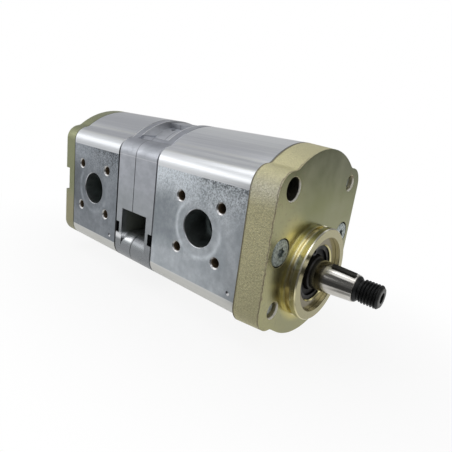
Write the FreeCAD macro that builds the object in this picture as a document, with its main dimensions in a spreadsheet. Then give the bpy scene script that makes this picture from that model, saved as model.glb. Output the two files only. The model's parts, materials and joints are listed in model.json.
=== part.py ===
import FreeCAD, Part
import Sketcher

import math
import os
import re

# A tandem external gear pump. The drive shaft runs along Y, and its end points to -Y.
# The origin is where the axis of the drive shaft crosses the mounting face of the front
# cover. Z points up, from the drive gears to the driven gears. The suction ports face -X
# and the pressure ports face +X. All sizes are in millimetres.

SIZES = {
    # gears
    "tooth_count": 12,
    "tooth_module": 2.5,
    "pressure_angle": 20.0,
    "centre_spread": 1.0,
    "root_depth": 2.6,
    "tip_clearance": 0.4,
    "tooth_thinning": 0.16,
    "root_fillet_radius": 0.8,
    "bore_clearance": 0.06,
    "axial_play": 0.05,
    # bearings
    "journal_radius": 9.0,
    "running_clearance": 0.03,
    "fit_clearance": 0.02,
    "bush_wall": 1.5,
    "bush_setback": 0.3,
    "block_length": 19.9,
    "relief_reach": 8.5,
    "relief_start": 2.2,
    "relief_height": 6.0,
    "relief_depth": 1.5,
    # outline of the housing
    "outline_drop": 1.0,
    "corner_beyond_hole": 1.0,
    "corner_below_hole": 1.25,
    "hump_over_corner": 21.65,
    "hump_beyond_hole": 17.0,
    "hump_blend_radius": 6.0,
    "body_corner_radius": 9.6,
    "cover_lip": 1.9,
    "cast_draft": 1.0,
    # lengths along the shaft
    "cover_thickness": 15.0,
    "front_body_length": 65.5,
    "intermediate_front_length": 19.1,
    "intermediate_rear_length": 15.9,
    "rear_body_length": 51.0,
    "rear_cover_thickness": 11.2,
    "rear_edge_radius": 1.5,
    "body_end_chamfer": 0.6,
    "flange_chamfer": 0.5,
    # spigot and shaft seal
    "spigot_radius": 25.0,
    "spigot_height": 7.5,
    "spigot_chamfer": 0.6,
    "spigot_groove_width": 2.6,
    "spigot_groove_depth": 2.2,
    "spigot_groove_inset": 1.6,
    "spigot_recess_radius": 20.3,
    "spigot_recess_depth": 2.5,
    "seal_bore_radius": 15.0,
    "seal_bore_mouth": 0.8,
    "seal_bore_depth": 9.6,
    "shaft_bore_clearance": 0.6,
    "seal_width": 7.0,
    "seal_case_wall": 1.4,
    "seal_web_thickness": 2.0,
    "seal_lip_thickness": 1.6,
    "seal_lip_setback": 0.8,
    "seal_lip_flare": 0.8,
    "seal_lip_clearance": 0.04,
    "ring_thickness": 1.2,
    "ring_radial_width": 2.2,
    "ring_groove_depth": 0.7,
    "ring_gap": 9.0,
    "ring_turn": 130.0,
    "ring_ear_radius": 2.3,
    "ring_ear_hole_radius": 1.1,
    # shaft end
    "taper_big_radius": 8.325,
    "taper_start_reach": 5.0,
    "taper_length_per_unit": 8.0,
    "shoulder_length": 1.8,
    "shoulder_drop": 0.4,
    "shoulder_chamfer": 1.1,
    "neck_radius": 5.0,
    "thread_radius": 6.0,
    "thread_length": 9.5,
    "neck_length": 1.4,
    "thread_chamfer": 1.2,
    "shaft_reach": 39.7,
    "centre_hole_radius": 2.7,
    "centre_hole_depth": 4.6,
    "key_diameter": 13.0,
    "key_width": 3.0,
    "key_height": 5.0,
    "key_setback": 7.0,
    "key_stand": 0.9,
    "key_turn": 17.0,
    # fastenings
    "spigot_to_hole": 8.32,
    "hole_rise": 30.0,
    "mount_hole_radius": 5.5,
    "mount_hole_chamfer": 0.45,
    "screw_radius": 4.0,
    "screw_clearance": 0.25,
    "thread_clearance": 0.05,
    "thread_mouth_chamfer": 0.7,
    "long_screw_inset": 2.4,
    "screw_head_radius": 6.5,
    "screw_head_height": 5.0,
    "short_screw_step": 1.7,
    "front_screw_length": 24.0,
    "rear_screw_length": 16.0,
    "flush_head_radius": 6.8,
    "flush_head_height": 4.6,
    "flush_seat_radius": 7.3,
    "rear_seat_radius": 7.75,
    "rear_seat_depth": 5.0,
    "dowel_radius": 2.5,
    "dowel_half_length": 4.0,
    "dowel_edge_distance": 5.4,
    # ports
    "front_port_reach": 30.5,
    "rear_port_reach": 26.5,
    "suction_bore_radius": 10.0,
    "suction_hole_circle": 40.0,
    "pressure_bore_radius": 7.5,
    "pressure_hole_circle": 35.0,
    "port_bore_depth": 18.6,
    "port_step": 1.5,
    "port_depth": 34.0,
    "port_screw_radius": 2.5,
    "port_screw_depth": 13.0,
    "port_screw_chamfer": 0.7,
    "port_mouth_chamfer": 0.4,
    "mark_radius": 0.75,
    "mark_depth": 1.0,
    "mark_drop": 26.0,
    "front_mark_reach": 5.9,
    "rear_mark_reach": 6.9,
    # face seals
    "face_seal_inset": 1.8,
    "face_seal_width": 2.4,
    "face_seal_depth": 1.6,
    "axial_seal_radius": 13.8,
    "axial_seal_width": 2.2,
    "axial_seal_depth": 1.8,
    "axial_seal_cut": 6.0,
    # intermediate section
    "flange_thickness": 6.0,
    "barrel_step": 3.7,
    "crown_step": 0.9,
    "crown_pocket_edge": 28.0,
    "rib_half_width": 8.0,
    "window_top": 10.3,
    "window_bottom": -5.4,
    "coupling_chamber_radius": 16.0,
    "inner_seal_radius": 14.0,
    "inner_seal_width": 5.0,
    "pry_slot_width": 3.6,
    "pry_slot_height": 7.0,
    "pry_slot_middle": -2.5,
    "pry_slot_depth": 4.0,
    "vent_hole_radius": 1.5,
    "vent_across": 10.0,
    "vent_from_split": 3.6,
    "vent_depth": 9.0,
    # coupling
    "coupling_radius": 13.5,
    "coupling_length": 18.6,
    "coupling_chamfer": 0.8,
    "tang_width": 7.0,
    "tang_length": 8.2,
    "tang_clearance": 0.05,
    "coupling_play": 0.25,
}

# Places and sizes that follow from the sizes above.
PLACES = {
    "centre_distance": "tooth_count * tooth_module + centre_spread",
    "root_radius": "tooth_count * tooth_module / 2 - root_depth",
    "tip_radius": "centre_distance - root_radius - tip_clearance",
    "gear_middle": "centre_distance / 2",
    "gear_bore_radius": "tip_radius + bore_clearance",
    "block_radius": "gear_bore_radius - fit_clearance",
    "bush_inner_radius": "journal_radius + running_clearance",
    "bush_outer_radius": "bush_inner_radius + bush_wall",
    "bush_seat_radius": "bush_outer_radius + fit_clearance",
    "bush_length": "block_length - 2 * bush_setback",
    "hole_top": "gear_middle + hole_rise",
    "hole_bottom": "gear_middle - hole_rise",
    "hole_across": "sqrt((spigot_radius + spigot_to_hole) ^ 2 - hole_bottom ^ 2)",
    "short_screw_across": "hole_across + short_screw_step",
    "outline_middle": "gear_middle - outline_drop",
    "corner_across": "hole_across + corner_beyond_hole",
    "corner_rise": "hole_rise - corner_below_hole",
    "corner_top": "outline_middle + corner_rise",
    "corner_bottom": "outline_middle - corner_rise",
    "hump_reach": "corner_rise + hump_over_corner",
    "body_hump_radius": "hole_across + hump_beyond_hole",
    "hump_top": "outline_middle + hump_reach",
    "hump_top_centre": "hump_top - body_hump_radius",
    "hump_bottom_centre": "outline_middle - hump_reach + body_hump_radius",
    "body_side": "corner_across + body_corner_radius",
    "cover_joint_corner_radius": "body_corner_radius + cover_lip",
    "cover_corner_radius": "cover_joint_corner_radius - cast_draft",
    "cover_hump_radius": "body_hump_radius - cast_draft",
    "barrel_radius": "hump_top - centre_distance - barrel_step",
    "crown_radius": "body_hump_radius - crown_step",
    "crown_half_width": "sqrt(crown_radius ^ 2 - (corner_top - hump_top_centre) ^ 2)",
    "front_body_place": "cover_thickness",
    "intermediate_place": "front_body_place + front_body_length",
    "split_place": "intermediate_place + intermediate_front_length",
    "rear_body_place": "split_place + intermediate_rear_length",
    "rear_cover_place": "rear_body_place + rear_body_length",
    "back_place": "rear_cover_place + rear_cover_thickness",
    "spigot_face": "-spigot_height",
    "spigot_root": "cover_thickness / 4",
    "spigot_chamfer_place": "spigot_chamfer - spigot_height",
    "spigot_chamfer_radius": "spigot_radius - spigot_chamfer",
    "spigot_groove_radius": "spigot_radius - spigot_groove_depth",
    "spigot_groove_back": "-spigot_groove_inset",
    "spigot_groove_front": "-spigot_groove_inset - spigot_groove_width",
    "spigot_recess_floor": "spigot_recess_depth - spigot_height",
    "seal_mouth_radius": "seal_bore_radius + seal_bore_mouth",
    "seal_mouth_place": "spigot_recess_floor + seal_bore_mouth",
    "bore_cut_start": "spigot_face - spigot_chamfer",
    "seal_seat_place": "spigot_recess_floor + seal_bore_depth",
    "shaft_seal_open": "seal_seat_place - fit_clearance",
    "shaft_seal_closed": "shaft_seal_open - seal_width",
    "shaft_seal_web": "shaft_seal_closed + seal_web_thickness",
    "shaft_seal_lip": "shaft_seal_open - seal_lip_setback",
    "shaft_seal_radius": "seal_bore_radius - fit_clearance",
    "shaft_seal_case_radius": "shaft_seal_radius - seal_case_wall",
    "seal_lip_radius": "journal_radius + seal_lip_clearance",
    "seal_neck_radius": "seal_lip_radius + seal_lip_thickness",
    "seal_throat_radius": "seal_lip_radius + seal_lip_flare",
    "ring_back": "shaft_seal_closed - fit_clearance",
    "ring_front": "ring_back - ring_thickness",
    "ring_groove_back": "ring_back + fit_clearance / 2",
    "ring_groove_front": "ring_front - fit_clearance",
    "ring_groove_radius": "seal_bore_radius + ring_groove_depth",
    "ring_outer_radius": "ring_groove_radius - fit_clearance",
    "ring_inner_radius": "seal_bore_radius - ring_radial_width",
    "ring_ear_across": "ring_gap / 2 + ring_ear_radius",
    "ring_ear_height": "-sqrt(ring_inner_radius ^ 2 - ring_ear_across ^ 2)",
    "ring_gap_half": "ring_gap / 2",
    "shaft_bore_radius": "journal_radius + shaft_bore_clearance",
    "bore_cut_end": "cover_thickness + spigot_chamfer",
    "taper_start": "-taper_start_reach",
    "thread_start": "thread_length - shaft_reach",
    "shoulder_end": "thread_start + neck_length",
    "taper_end": "shoulder_end + shoulder_length",
    "taper_small_radius": "taper_big_radius - (taper_start - taper_end) / taper_length_per_unit / 2",
    "shoulder_radius": "taper_small_radius - shoulder_drop",
    "shoulder_chamfer_place": "shoulder_end + shoulder_chamfer",
    "shoulder_chamfer_radius": "shoulder_radius - shoulder_chamfer",
    "journal_start": "taper_start + journal_radius - taper_big_radius",
    "thread_end": "thread_chamfer - shaft_reach",
    "thread_end_radius": "thread_radius - thread_chamfer",
    "shaft_end": "-shaft_reach",
    "centre_hole_end": "centre_hole_depth - shaft_reach",
    "centre_hole_cone_end": "centre_hole_end + centre_hole_radius",
    "key_radius": "key_diameter / 2",
    "key_seat_radius": "key_radius + fit_clearance",
    "key_seat_width": "key_width + 2 * fit_clearance",
    "key_place": "taper_end + key_setback",
    "key_centre": "key_bottom + key_radius",
    "key_chord": "key_height - key_radius",
    "key_half_length": "sqrt(key_radius ^ 2 - key_chord ^ 2)",
    "key_top": "taper_big_radius - (taper_start - key_place) / taper_length_per_unit / 2 + key_stand",
    "key_bottom": "key_top - key_height",
    "screw_hole_radius": "screw_radius + screw_clearance",
    "thread_hole_radius": "screw_radius + thread_clearance",
    "long_screw_length": "back_place - long_screw_inset",
    "flush_seat_depth": "flush_head_height + fit_clearance",
    "front_screw_bottom": "front_screw_length - cover_thickness + screw_clearance",
    "rear_screw_bottom": "rear_screw_length - rear_cover_thickness + rear_seat_depth + screw_clearance",
    "rear_seat_place": "back_place - rear_seat_depth",
    "rear_seat_bottom": "gear_middle - rear_seat_radius",
    "rear_seat_top": "gear_middle + rear_seat_radius",
    "rear_screw_place": "rear_seat_place - rear_screw_length",
    "dowel_top": "hump_top - dowel_edge_distance",
    "dowel_bottom": "outline_middle - hump_reach + dowel_edge_distance",
    "dowel_seat_radius": "dowel_radius + fit_clearance",
    "dowel_seat_depth": "dowel_half_length + screw_clearance",
    "front_port_place": "front_body_place + front_port_reach",
    "rear_port_place": "rear_body_place + rear_port_reach",
    "suction_hole_half": "suction_hole_circle / 2 / sqrt(2)",
    "pressure_hole_half": "pressure_hole_circle / 2 / sqrt(2)",
    "front_suction_near": "front_port_place - suction_hole_half",
    "front_suction_far": "front_port_place + suction_hole_half",
    "rear_suction_near": "rear_port_place - suction_hole_half",
    "rear_suction_far": "rear_port_place + suction_hole_half",
    "front_pressure_near": "front_port_place - pressure_hole_half",
    "front_pressure_far": "front_port_place + pressure_hole_half",
    "rear_pressure_near": "rear_port_place - pressure_hole_half",
    "rear_pressure_far": "rear_port_place + pressure_hole_half",
    "suction_bottom": "gear_middle - suction_hole_half",
    "suction_top": "gear_middle + suction_hole_half",
    "pressure_bottom": "gear_middle - pressure_hole_half",
    "pressure_top": "gear_middle + pressure_hole_half",
    "suction_passage_radius": "suction_bore_radius - port_step",
    "pressure_passage_radius": "pressure_bore_radius - port_step",
    "mark_height": "gear_middle - mark_drop",
    "front_mark_place": "front_body_place + front_mark_reach",
    "rear_mark_place": "rear_body_place + rear_mark_reach",
    "relief_bottom": "gear_middle - relief_height / 2",
    "relief_top": "gear_middle + relief_height / 2",
    "face_seal_inner_radius": "gear_bore_radius + face_seal_inset",
    "face_seal_outer_radius": "face_seal_inner_radius + face_seal_width",
    "face_seal_ring_inner": "face_seal_inner_radius + fit_clearance",
    "face_seal_ring_outer": "face_seal_outer_radius - fit_clearance",
    "face_seal_thickness": "face_seal_depth - fit_clearance",
    "axial_seal_inner_radius": "axial_seal_radius - axial_seal_width / 2",
    "axial_seal_outer_radius": "axial_seal_radius + axial_seal_width / 2",
    "axial_seal_bar": "axial_seal_width / 2",
    "axial_ring_inner": "axial_seal_inner_radius + fit_clearance",
    "axial_ring_outer": "axial_seal_outer_radius - fit_clearance",
    "axial_ring_bar": "axial_seal_bar - fit_clearance",
    "axial_ring_cut": "axial_seal_cut - fit_clearance",
    "axial_ring_thickness": "axial_seal_depth - fit_clearance",
    "front_gear_width": "front_body_length - 2 * block_length - 4 * axial_play",
    "rear_gear_width": "rear_body_length - 2 * block_length - 4 * axial_play",
    "front_gear_place": "front_body_place + block_length + 2 * axial_play",
    "rear_gear_place": "rear_body_place + block_length + 2 * axial_play",
    "front_flange_end": "intermediate_place + flange_thickness",
    "rear_flange_place": "rear_body_place - flange_thickness",
    "front_waist_length": "intermediate_front_length - flange_thickness",
    "rear_waist_length": "intermediate_rear_length - flange_thickness",
    "stage_seal_radius": "inner_seal_radius - fit_clearance",
    "stage_seal_case_radius": "stage_seal_radius - seal_case_wall",
    "front_stage_seal_closed": "front_flange_end - fit_clearance",
    "front_stage_seal_open": "front_stage_seal_closed - inner_seal_width",
    "front_stage_seal_web": "front_stage_seal_closed - seal_web_thickness",
    "front_stage_seal_lip": "front_stage_seal_open + seal_lip_setback",
    "rear_stage_seal_closed": "rear_flange_place + fit_clearance",
    "rear_stage_seal_open": "rear_stage_seal_closed + inner_seal_width",
    "rear_stage_seal_web": "rear_stage_seal_closed + seal_web_thickness",
    "rear_stage_seal_lip": "rear_stage_seal_open - seal_lip_setback",
    "front_pry_place": "intermediate_place",
    "rear_pry_place": "rear_body_place - pry_slot_width",
    "pry_slot_bottom": "pry_slot_middle - pry_slot_height / 2",
    "pry_slot_top": "pry_slot_middle + pry_slot_height / 2",
    "pry_slot_across": "body_side - pry_slot_depth",
    "vent_place": "split_place + vent_from_split",
    "vent_top": "centre_distance + barrel_radius",
    "coupling_middle": "(front_flange_end + rear_flange_place) / 2",
    "coupling_place": "coupling_middle - coupling_length / 2",
    "coupling_end": "coupling_middle + coupling_length / 2",
    "coupling_slot_depth": "tang_length + coupling_play",
    "coupling_slot_half": "tang_width / 2 + tang_clearance",
    "front_tang_place": "coupling_place - coupling_play",
    "front_tang_end": "front_tang_place + tang_length",
    "rear_tang_end": "coupling_end + coupling_play",
    "rear_tang_place": "rear_tang_end - tang_length",
    "tang_half": "tang_width / 2",
    "rear_slot_place": "coupling_end - coupling_slot_depth",
    "rear_shaft_rear": "rear_cover_place - axial_play",
    "front_idler_length": "front_body_length - 2 * axial_play",
    "rear_idler_length": "rear_body_length - 2 * axial_play",
    "front_block_place": "front_body_place + axial_play",
    "front_block_end": "front_block_place + block_length",
    "middle_block_end": "intermediate_place - axial_play",
    "middle_block_place": "middle_block_end - block_length",
    "rear_block_place": "rear_body_place + axial_play",
    "rear_block_end": "rear_block_place + block_length",
    "back_block_end": "rear_cover_place - axial_play",
    "back_block_place": "back_block_end - block_length",
}

document = FreeCAD.newDocument("Pump")
Vector = FreeCAD.Vector
ALONG_SHAFT = FreeCAD.Rotation(Vector(1, 0, 0), -90)
ACROSS = FreeCAD.Rotation(Vector(0, 1, 0), 90)


def linked(text):
    """The same formula, with each size or place under its sheet's name."""
    def word(match):
        name = match.group(0)
        sheet = "Sizes." if name in SIZES else "Places." if name in PLACES else ""
        return sheet + name
    return re.sub(r"[a-z_]+", word, text)


def make_sheet(name, cells):
    sheet = document.addObject("Spreadsheet::Sheet", name)
    for row, (alias, content) in enumerate(cells.items(), start=1):
        sheet.set(f"A{row}", alias)
        sheet.set(f"B{row}", content)
        sheet.setAlias(f"B{row}", alias)
    document.recompute()
    return sheet


sizes_sheet = make_sheet("Sizes", {name: str(number) for name, number in SIZES.items()})
places_sheet = make_sheet("Places", {name: "=" + linked(rule) for name, rule in PLACES.items()})


def size(name):
    """The number that a sheet holds under a name. A minus sign before the name turns it."""
    if name.startswith("-"):
        return -size(name[1:])
    if name == "zero":
        return 0.0
    sheet = sizes_sheet if name in SIZES else places_sheet
    return float(sheet.get(name))


# Sketches

def new_body(label):
    body = document.addObject("PartDesign::Body", label)
    body.Label = label
    return body


def new_sketch(body, role, place="zero"):
    """A sketch on an origin plane, moved to a place along +X, +Y or +Z."""
    sketch = body.newObject("Sketcher::SketchObject", body.Label + "_sketch")
    plane = next(item for item in body.Origin.OriginFeatures if item.Role == role)
    sketch.AttachmentSupport = [(plane, "")]
    sketch.MapMode = "FlatFace"
    if place != "zero":
        turned = "-" if role == "XZ_Plane" else ""
        sketch.setExpression("AttachmentOffset.Base.z", turned + "(" + linked(place) + ")")
    return sketch


def constrain(sketch, kind, *parts):
    return sketch.addConstraint(Sketcher.Constraint(kind, *parts))


def dimension(sketch, kind, *parts):
    """A constraint whose last part names the size that drives it."""
    *geometry, name = parts
    if name == "zero" and kind == "DistanceX":
        return constrain(sketch, "PointOnObject", *geometry[2:], -2)
    if name == "zero" and kind == "DistanceY":
        return constrain(sketch, "PointOnObject", *geometry[2:], -1)
    index = constrain(sketch, kind, *geometry, size(name))
    sketch.setExpression(f"Constraints[{index}]", linked(name))
    return index


def place_point(sketch, geometry, point, across, up):
    dimension(sketch, "DistanceX", -1, 1, geometry, point, across)
    dimension(sketch, "DistanceY", -1, 1, geometry, point, up)


def add_circle(sketch, across, up, radius):
    centre = Vector(size(across), size(up), 0)
    ring = sketch.addGeometry(Part.Circle(centre, Vector(0, 0, 1), size(radius)))
    dimension(sketch, "Radius", ring, radius)
    place_point(sketch, ring, 3, across, up)
    return ring


def add_polygon(sketch, corners):
    """A closed outline of straight lines through (across, up) pairs of names."""
    points = [Vector(size(across), size(up), 0) for across, up in corners]
    ends = points[1:] + points[:1]
    lines = [sketch.addGeometry(Part.LineSegment(a, b)) for a, b in zip(points, ends)]
    for number, line in enumerate(lines):
        constrain(sketch, "Coincident", lines[number - 1], 2, line, 1)
        place_point(sketch, line, 1, *corners[number])


def add_box(sketch, left, right, bottom, top):
    add_polygon(sketch, [(left, bottom), (right, bottom), (right, top), (left, top)])


def arc_between(centre, radius, start, end):
    """The arc from start to end, anticlockwise about its centre."""
    first = math.atan2(start.y - centre.y, start.x - centre.x)
    last = math.atan2(end.y - centre.y, end.x - centre.x)
    if last <= first:
        last += 2 * math.pi
    return Part.ArcOfCircle(Part.Circle(centre, Vector(0, 0, 1), radius), first, last)


def add_stadium(sketch, radius):
    """Two half circles about the gear axes, joined by upright lines."""
    reach = size(radius)
    top = size("centre_distance")
    low = Vector(0, 0, 0)
    high = Vector(0, top, 0)
    right = Vector(reach, 0, 0)
    left = Vector(-reach, 0, 0)
    upper = sketch.addGeometry(arc_between(high, reach, right + high, left + high))
    lower = sketch.addGeometry(arc_between(low, reach, left, right))
    left_line = sketch.addGeometry(Part.LineSegment(left + high, left))
    right_line = sketch.addGeometry(Part.LineSegment(right, right + high))
    for first, second in ((upper, left_line), (left_line, lower), (lower, right_line), (right_line, upper)):
        constrain(sketch, "Tangent", first, 2, second, 1)
    place_point(sketch, lower, 3, "zero", "zero")
    place_point(sketch, upper, 3, "zero", "centre_distance")
    dimension(sketch, "Radius", upper, radius)
    dimension(sketch, "Radius", lower, radius)


def add_crown(sketch):
    """The top of the hump, a little inside the outline: an arc and the chord below it."""
    right = Vector(size("crown_half_width"), size("corner_top"), 0)
    left = Vector(-size("crown_half_width"), size("corner_top"), 0)
    middle = Vector(0, size("hump_top_centre"), 0)
    arc = sketch.addGeometry(arc_between(middle, size("crown_radius"), right, left))
    chord = sketch.addGeometry(Part.LineSegment(left, right))
    place_point(sketch, arc, 3, "zero", "hump_top_centre")
    dimension(sketch, "Radius", arc, "crown_radius")
    constrain(sketch, "Coincident", arc, 2, chord, 1)
    constrain(sketch, "Coincident", chord, 2, arc, 1)
    constrain(sketch, "Horizontal", chord)
    dimension(sketch, "DistanceY", -1, 1, chord, 1, "corner_top")


def add_outline(sketch, corner_radius, hump_radius):
    """The outline of the housing: four rounded corners, upright sides, and a round
    hump above and below, blended into the corners."""
    corner = size(corner_radius)
    hump = size(hump_radius)
    blend = size("hump_blend_radius")
    joints = {}
    for side in (1, -1):
        for level, corner_up, hump_up in ((1, "corner_top", "hump_top_centre"),
                                          (-1, "corner_bottom", "hump_bottom_centre")):
            hump_centre = Vector(0, size(hump_up), 0)
            corner_centre = Vector(side * size("corner_across"), size(corner_up), 0)
            line = corner_centre - hump_centre
            span = line.Length
            from_hump = hump + blend
            from_corner = corner + blend
            lean = math.acos((from_hump ** 2 + span ** 2 - from_corner ** 2) / (2 * from_hump * span))
            angle = math.atan2(line.y, line.x) + side * level * lean
            reach = Vector(math.cos(angle), math.sin(angle), 0)
            blend_centre = hump_centre + reach * from_hump
            on_hump = hump_centre + reach * hump
            on_corner = corner_centre + (blend_centre - corner_centre) * (corner / from_corner)
            joints[side, level] = (hump_centre, corner_centre, blend_centre, on_hump, on_corner)

    def arc(kind, side, level):
        hump_centre, corner_centre, blend_centre, on_hump, on_corner = joints[side, level]
        side_point = corner_centre + Vector(side * corner, 0, 0)
        if kind == "corner":
            ends = (side_point, on_corner) if side * level > 0 else (on_corner, side_point)
            return arc_between(corner_centre, corner, *ends)
        ends = (on_hump, on_corner) if side * level > 0 else (on_corner, on_hump)
        return arc_between(blend_centre, blend, *ends)

    top = sketch.addGeometry(arc_between(joints[1, 1][0], hump, joints[1, 1][3], joints[-1, 1][3]))
    left_top_blend = sketch.addGeometry(arc("blend", -1, 1))
    left_top = sketch.addGeometry(arc("corner", -1, 1))
    left_upper = joints[-1, 1][1] - Vector(corner, 0, 0)
    left_lower = joints[-1, -1][1] - Vector(corner, 0, 0)
    left = sketch.addGeometry(Part.LineSegment(left_upper, left_lower))
    left_bottom = sketch.addGeometry(arc("corner", -1, -1))
    left_bottom_blend = sketch.addGeometry(arc("blend", -1, -1))
    bottom = sketch.addGeometry(arc_between(joints[-1, -1][0], hump, joints[-1, -1][3], joints[1, -1][3]))
    right_bottom_blend = sketch.addGeometry(arc("blend", 1, -1))
    right_bottom = sketch.addGeometry(arc("corner", 1, -1))
    right_lower = joints[1, -1][1] + Vector(corner, 0, 0)
    right_upper = joints[1, 1][1] + Vector(corner, 0, 0)
    right = sketch.addGeometry(Part.LineSegment(right_lower, right_upper))
    right_top = sketch.addGeometry(arc("corner", 1, 1))
    right_top_blend = sketch.addGeometry(arc("blend", 1, 1))

    # each joint: the end of one piece and the start of the next, going round anticlockwise.
    # A blend is hollow, so its arc runs the other way.
    chain = [
        (top, 2, left_top_blend, 2), (left_top_blend, 1, left_top, 1), (left_top, 2, left, 1),
        (left, 2, left_bottom, 1), (left_bottom, 2, left_bottom_blend, 2),
        (left_bottom_blend, 1, bottom, 1), (bottom, 2, right_bottom_blend, 2),
        (right_bottom_blend, 1, right_bottom, 1), (right_bottom, 2, right, 1),
        (right, 2, right_top, 1), (right_top, 2, right_top_blend, 2), (right_top_blend, 1, top, 1),
    ]
    for joint in chain:
        constrain(sketch, "Tangent", *joint)
    for hump_arc, up in ((top, "hump_top_centre"), (bottom, "hump_bottom_centre")):
        place_point(sketch, hump_arc, 3, "zero", up)
        dimension(sketch, "Radius", hump_arc, hump_radius)
    for corner_arc, across, up in ((left_top, "-corner_across", "corner_top"),
                                   (left_bottom, "-corner_across", "corner_bottom"),
                                   (right_bottom, "corner_across", "corner_bottom"),
                                   (right_top, "corner_across", "corner_top")):
        place_point(sketch, corner_arc, 3, across, up)
        dimension(sketch, "Radius", corner_arc, corner_radius)
    for blend_arc in (left_top_blend, left_bottom_blend, right_bottom_blend, right_top_blend):
        dimension(sketch, "Radius", blend_arc, "hump_blend_radius")


# Features

def pad(body, sketch, length, forward=False):
    """Add the sketch's area over a length, to the rear of its plane or to the front."""
    feature = body.newObject("PartDesign::Pad", body.Label + "_pad")
    feature.Profile = sketch
    feature.setExpression("Length", linked(length))
    feature.Reversed = not forward
    return feature


def pocket(body, sketch, length, turned=False):
    """Cut the sketch's area to the rear of its plane, or to the front if turned."""
    feature = body.newObject("PartDesign::Pocket", body.Label + "_pocket")
    feature.Profile = sketch
    feature.setExpression("Length", linked(length))
    feature.Reversed = turned
    return feature


def cut_round(body, circles, place, length, turned=False):
    """Round holes along the shaft. Each circle is (across, up, radius)."""
    sketch = new_sketch(body, "XZ_Plane", place)
    for circle in circles:
        add_circle(sketch, *circle)
    return pocket(body, sketch, length, turned)


def revolve(body, corners, kind="PartDesign::Revolution"):
    """Turn a profile of (place, radius) pairs about the drive axis."""
    sketch = new_sketch(body, "YZ_Plane")
    add_polygon(sketch, corners)
    feature = body.newObject(kind, body.Label + "_turned")
    feature.Profile = sketch
    feature.ReferenceAxis = (sketch, ["H_Axis"])
    feature.Angle = 360.0
    return feature


def chamfer(body, amount, centres, radius):
    """Chamfer the round edges that have the given centres and radius."""
    document.recompute()
    base = body.Tip
    wanted = [Vector(*(size(name) for name in centre)) for centre in centres]
    names = []
    for number, edge in enumerate(base.Shape.Edges, start=1):
        curve = edge.Curve
        if not isinstance(curve, Part.Circle) or abs(curve.Radius - size(radius)) > 1e-4:
            continue
        if any((curve.Center - centre).Length < 1e-3 for centre in wanted):
            names.append(f"Edge{number}")
    if len(names) < len(wanted):
        raise RuntimeError(f"{body.Label}: {len(names)} of {len(wanted)} edges found to chamfer")
    feature = body.newObject("PartDesign::Chamfer", body.Label + "_chamfer")
    feature.Base = (base, names)
    feature.setExpression("Size", linked(amount))
    return feature


def end_edges(base, places):
    """The names of all edges that lie flat in one of the planes across the shaft."""
    document.recompute()
    names = []
    for number, edge in enumerate(base.Shape.Edges, start=1):
        box = edge.BoundBox
        if any(max(abs(box.YMin - size(place)), abs(box.YMax - size(place))) < 1e-4 for place in places):
            names.append(f"Edge{number}")
    return names


def chamfer_ends(body, amount, places):
    base = body.Tip
    feature = body.newObject("PartDesign::Chamfer", body.Label + "_chamfer")
    feature.Base = (base, end_edges(base, places))
    feature.setExpression("Size", linked(amount))


MOUNT_HOLES = [("-hole_across", "hole_top"), ("hole_across", "hole_bottom")]
LONG_SCREWS = [("hole_across", "hole_top"), ("-hole_across", "hole_bottom")]
SHORT_SCREWS = [("-short_screw_across", "gear_middle"), ("short_screw_across", "gear_middle")]
DOWELS = [("zero", "dowel_top"), ("zero", "dowel_bottom")]


def with_radius(places, radius):
    return [(across, up, radius) for across, up in places]


def corner_holes(body, place, length):
    """The two holes for the mounting bolts and the two for the long screws."""
    circles = with_radius(MOUNT_HOLES, "mount_hole_radius") + with_radius(LONG_SCREWS, "screw_hole_radius")
    cut_round(body, circles, place, length)


def dowel_holes(body, place, turned=False):
    cut_round(body, with_radius(DOWELS, "dowel_seat_radius"), place, "dowel_seat_depth", turned)


# Covers

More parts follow.
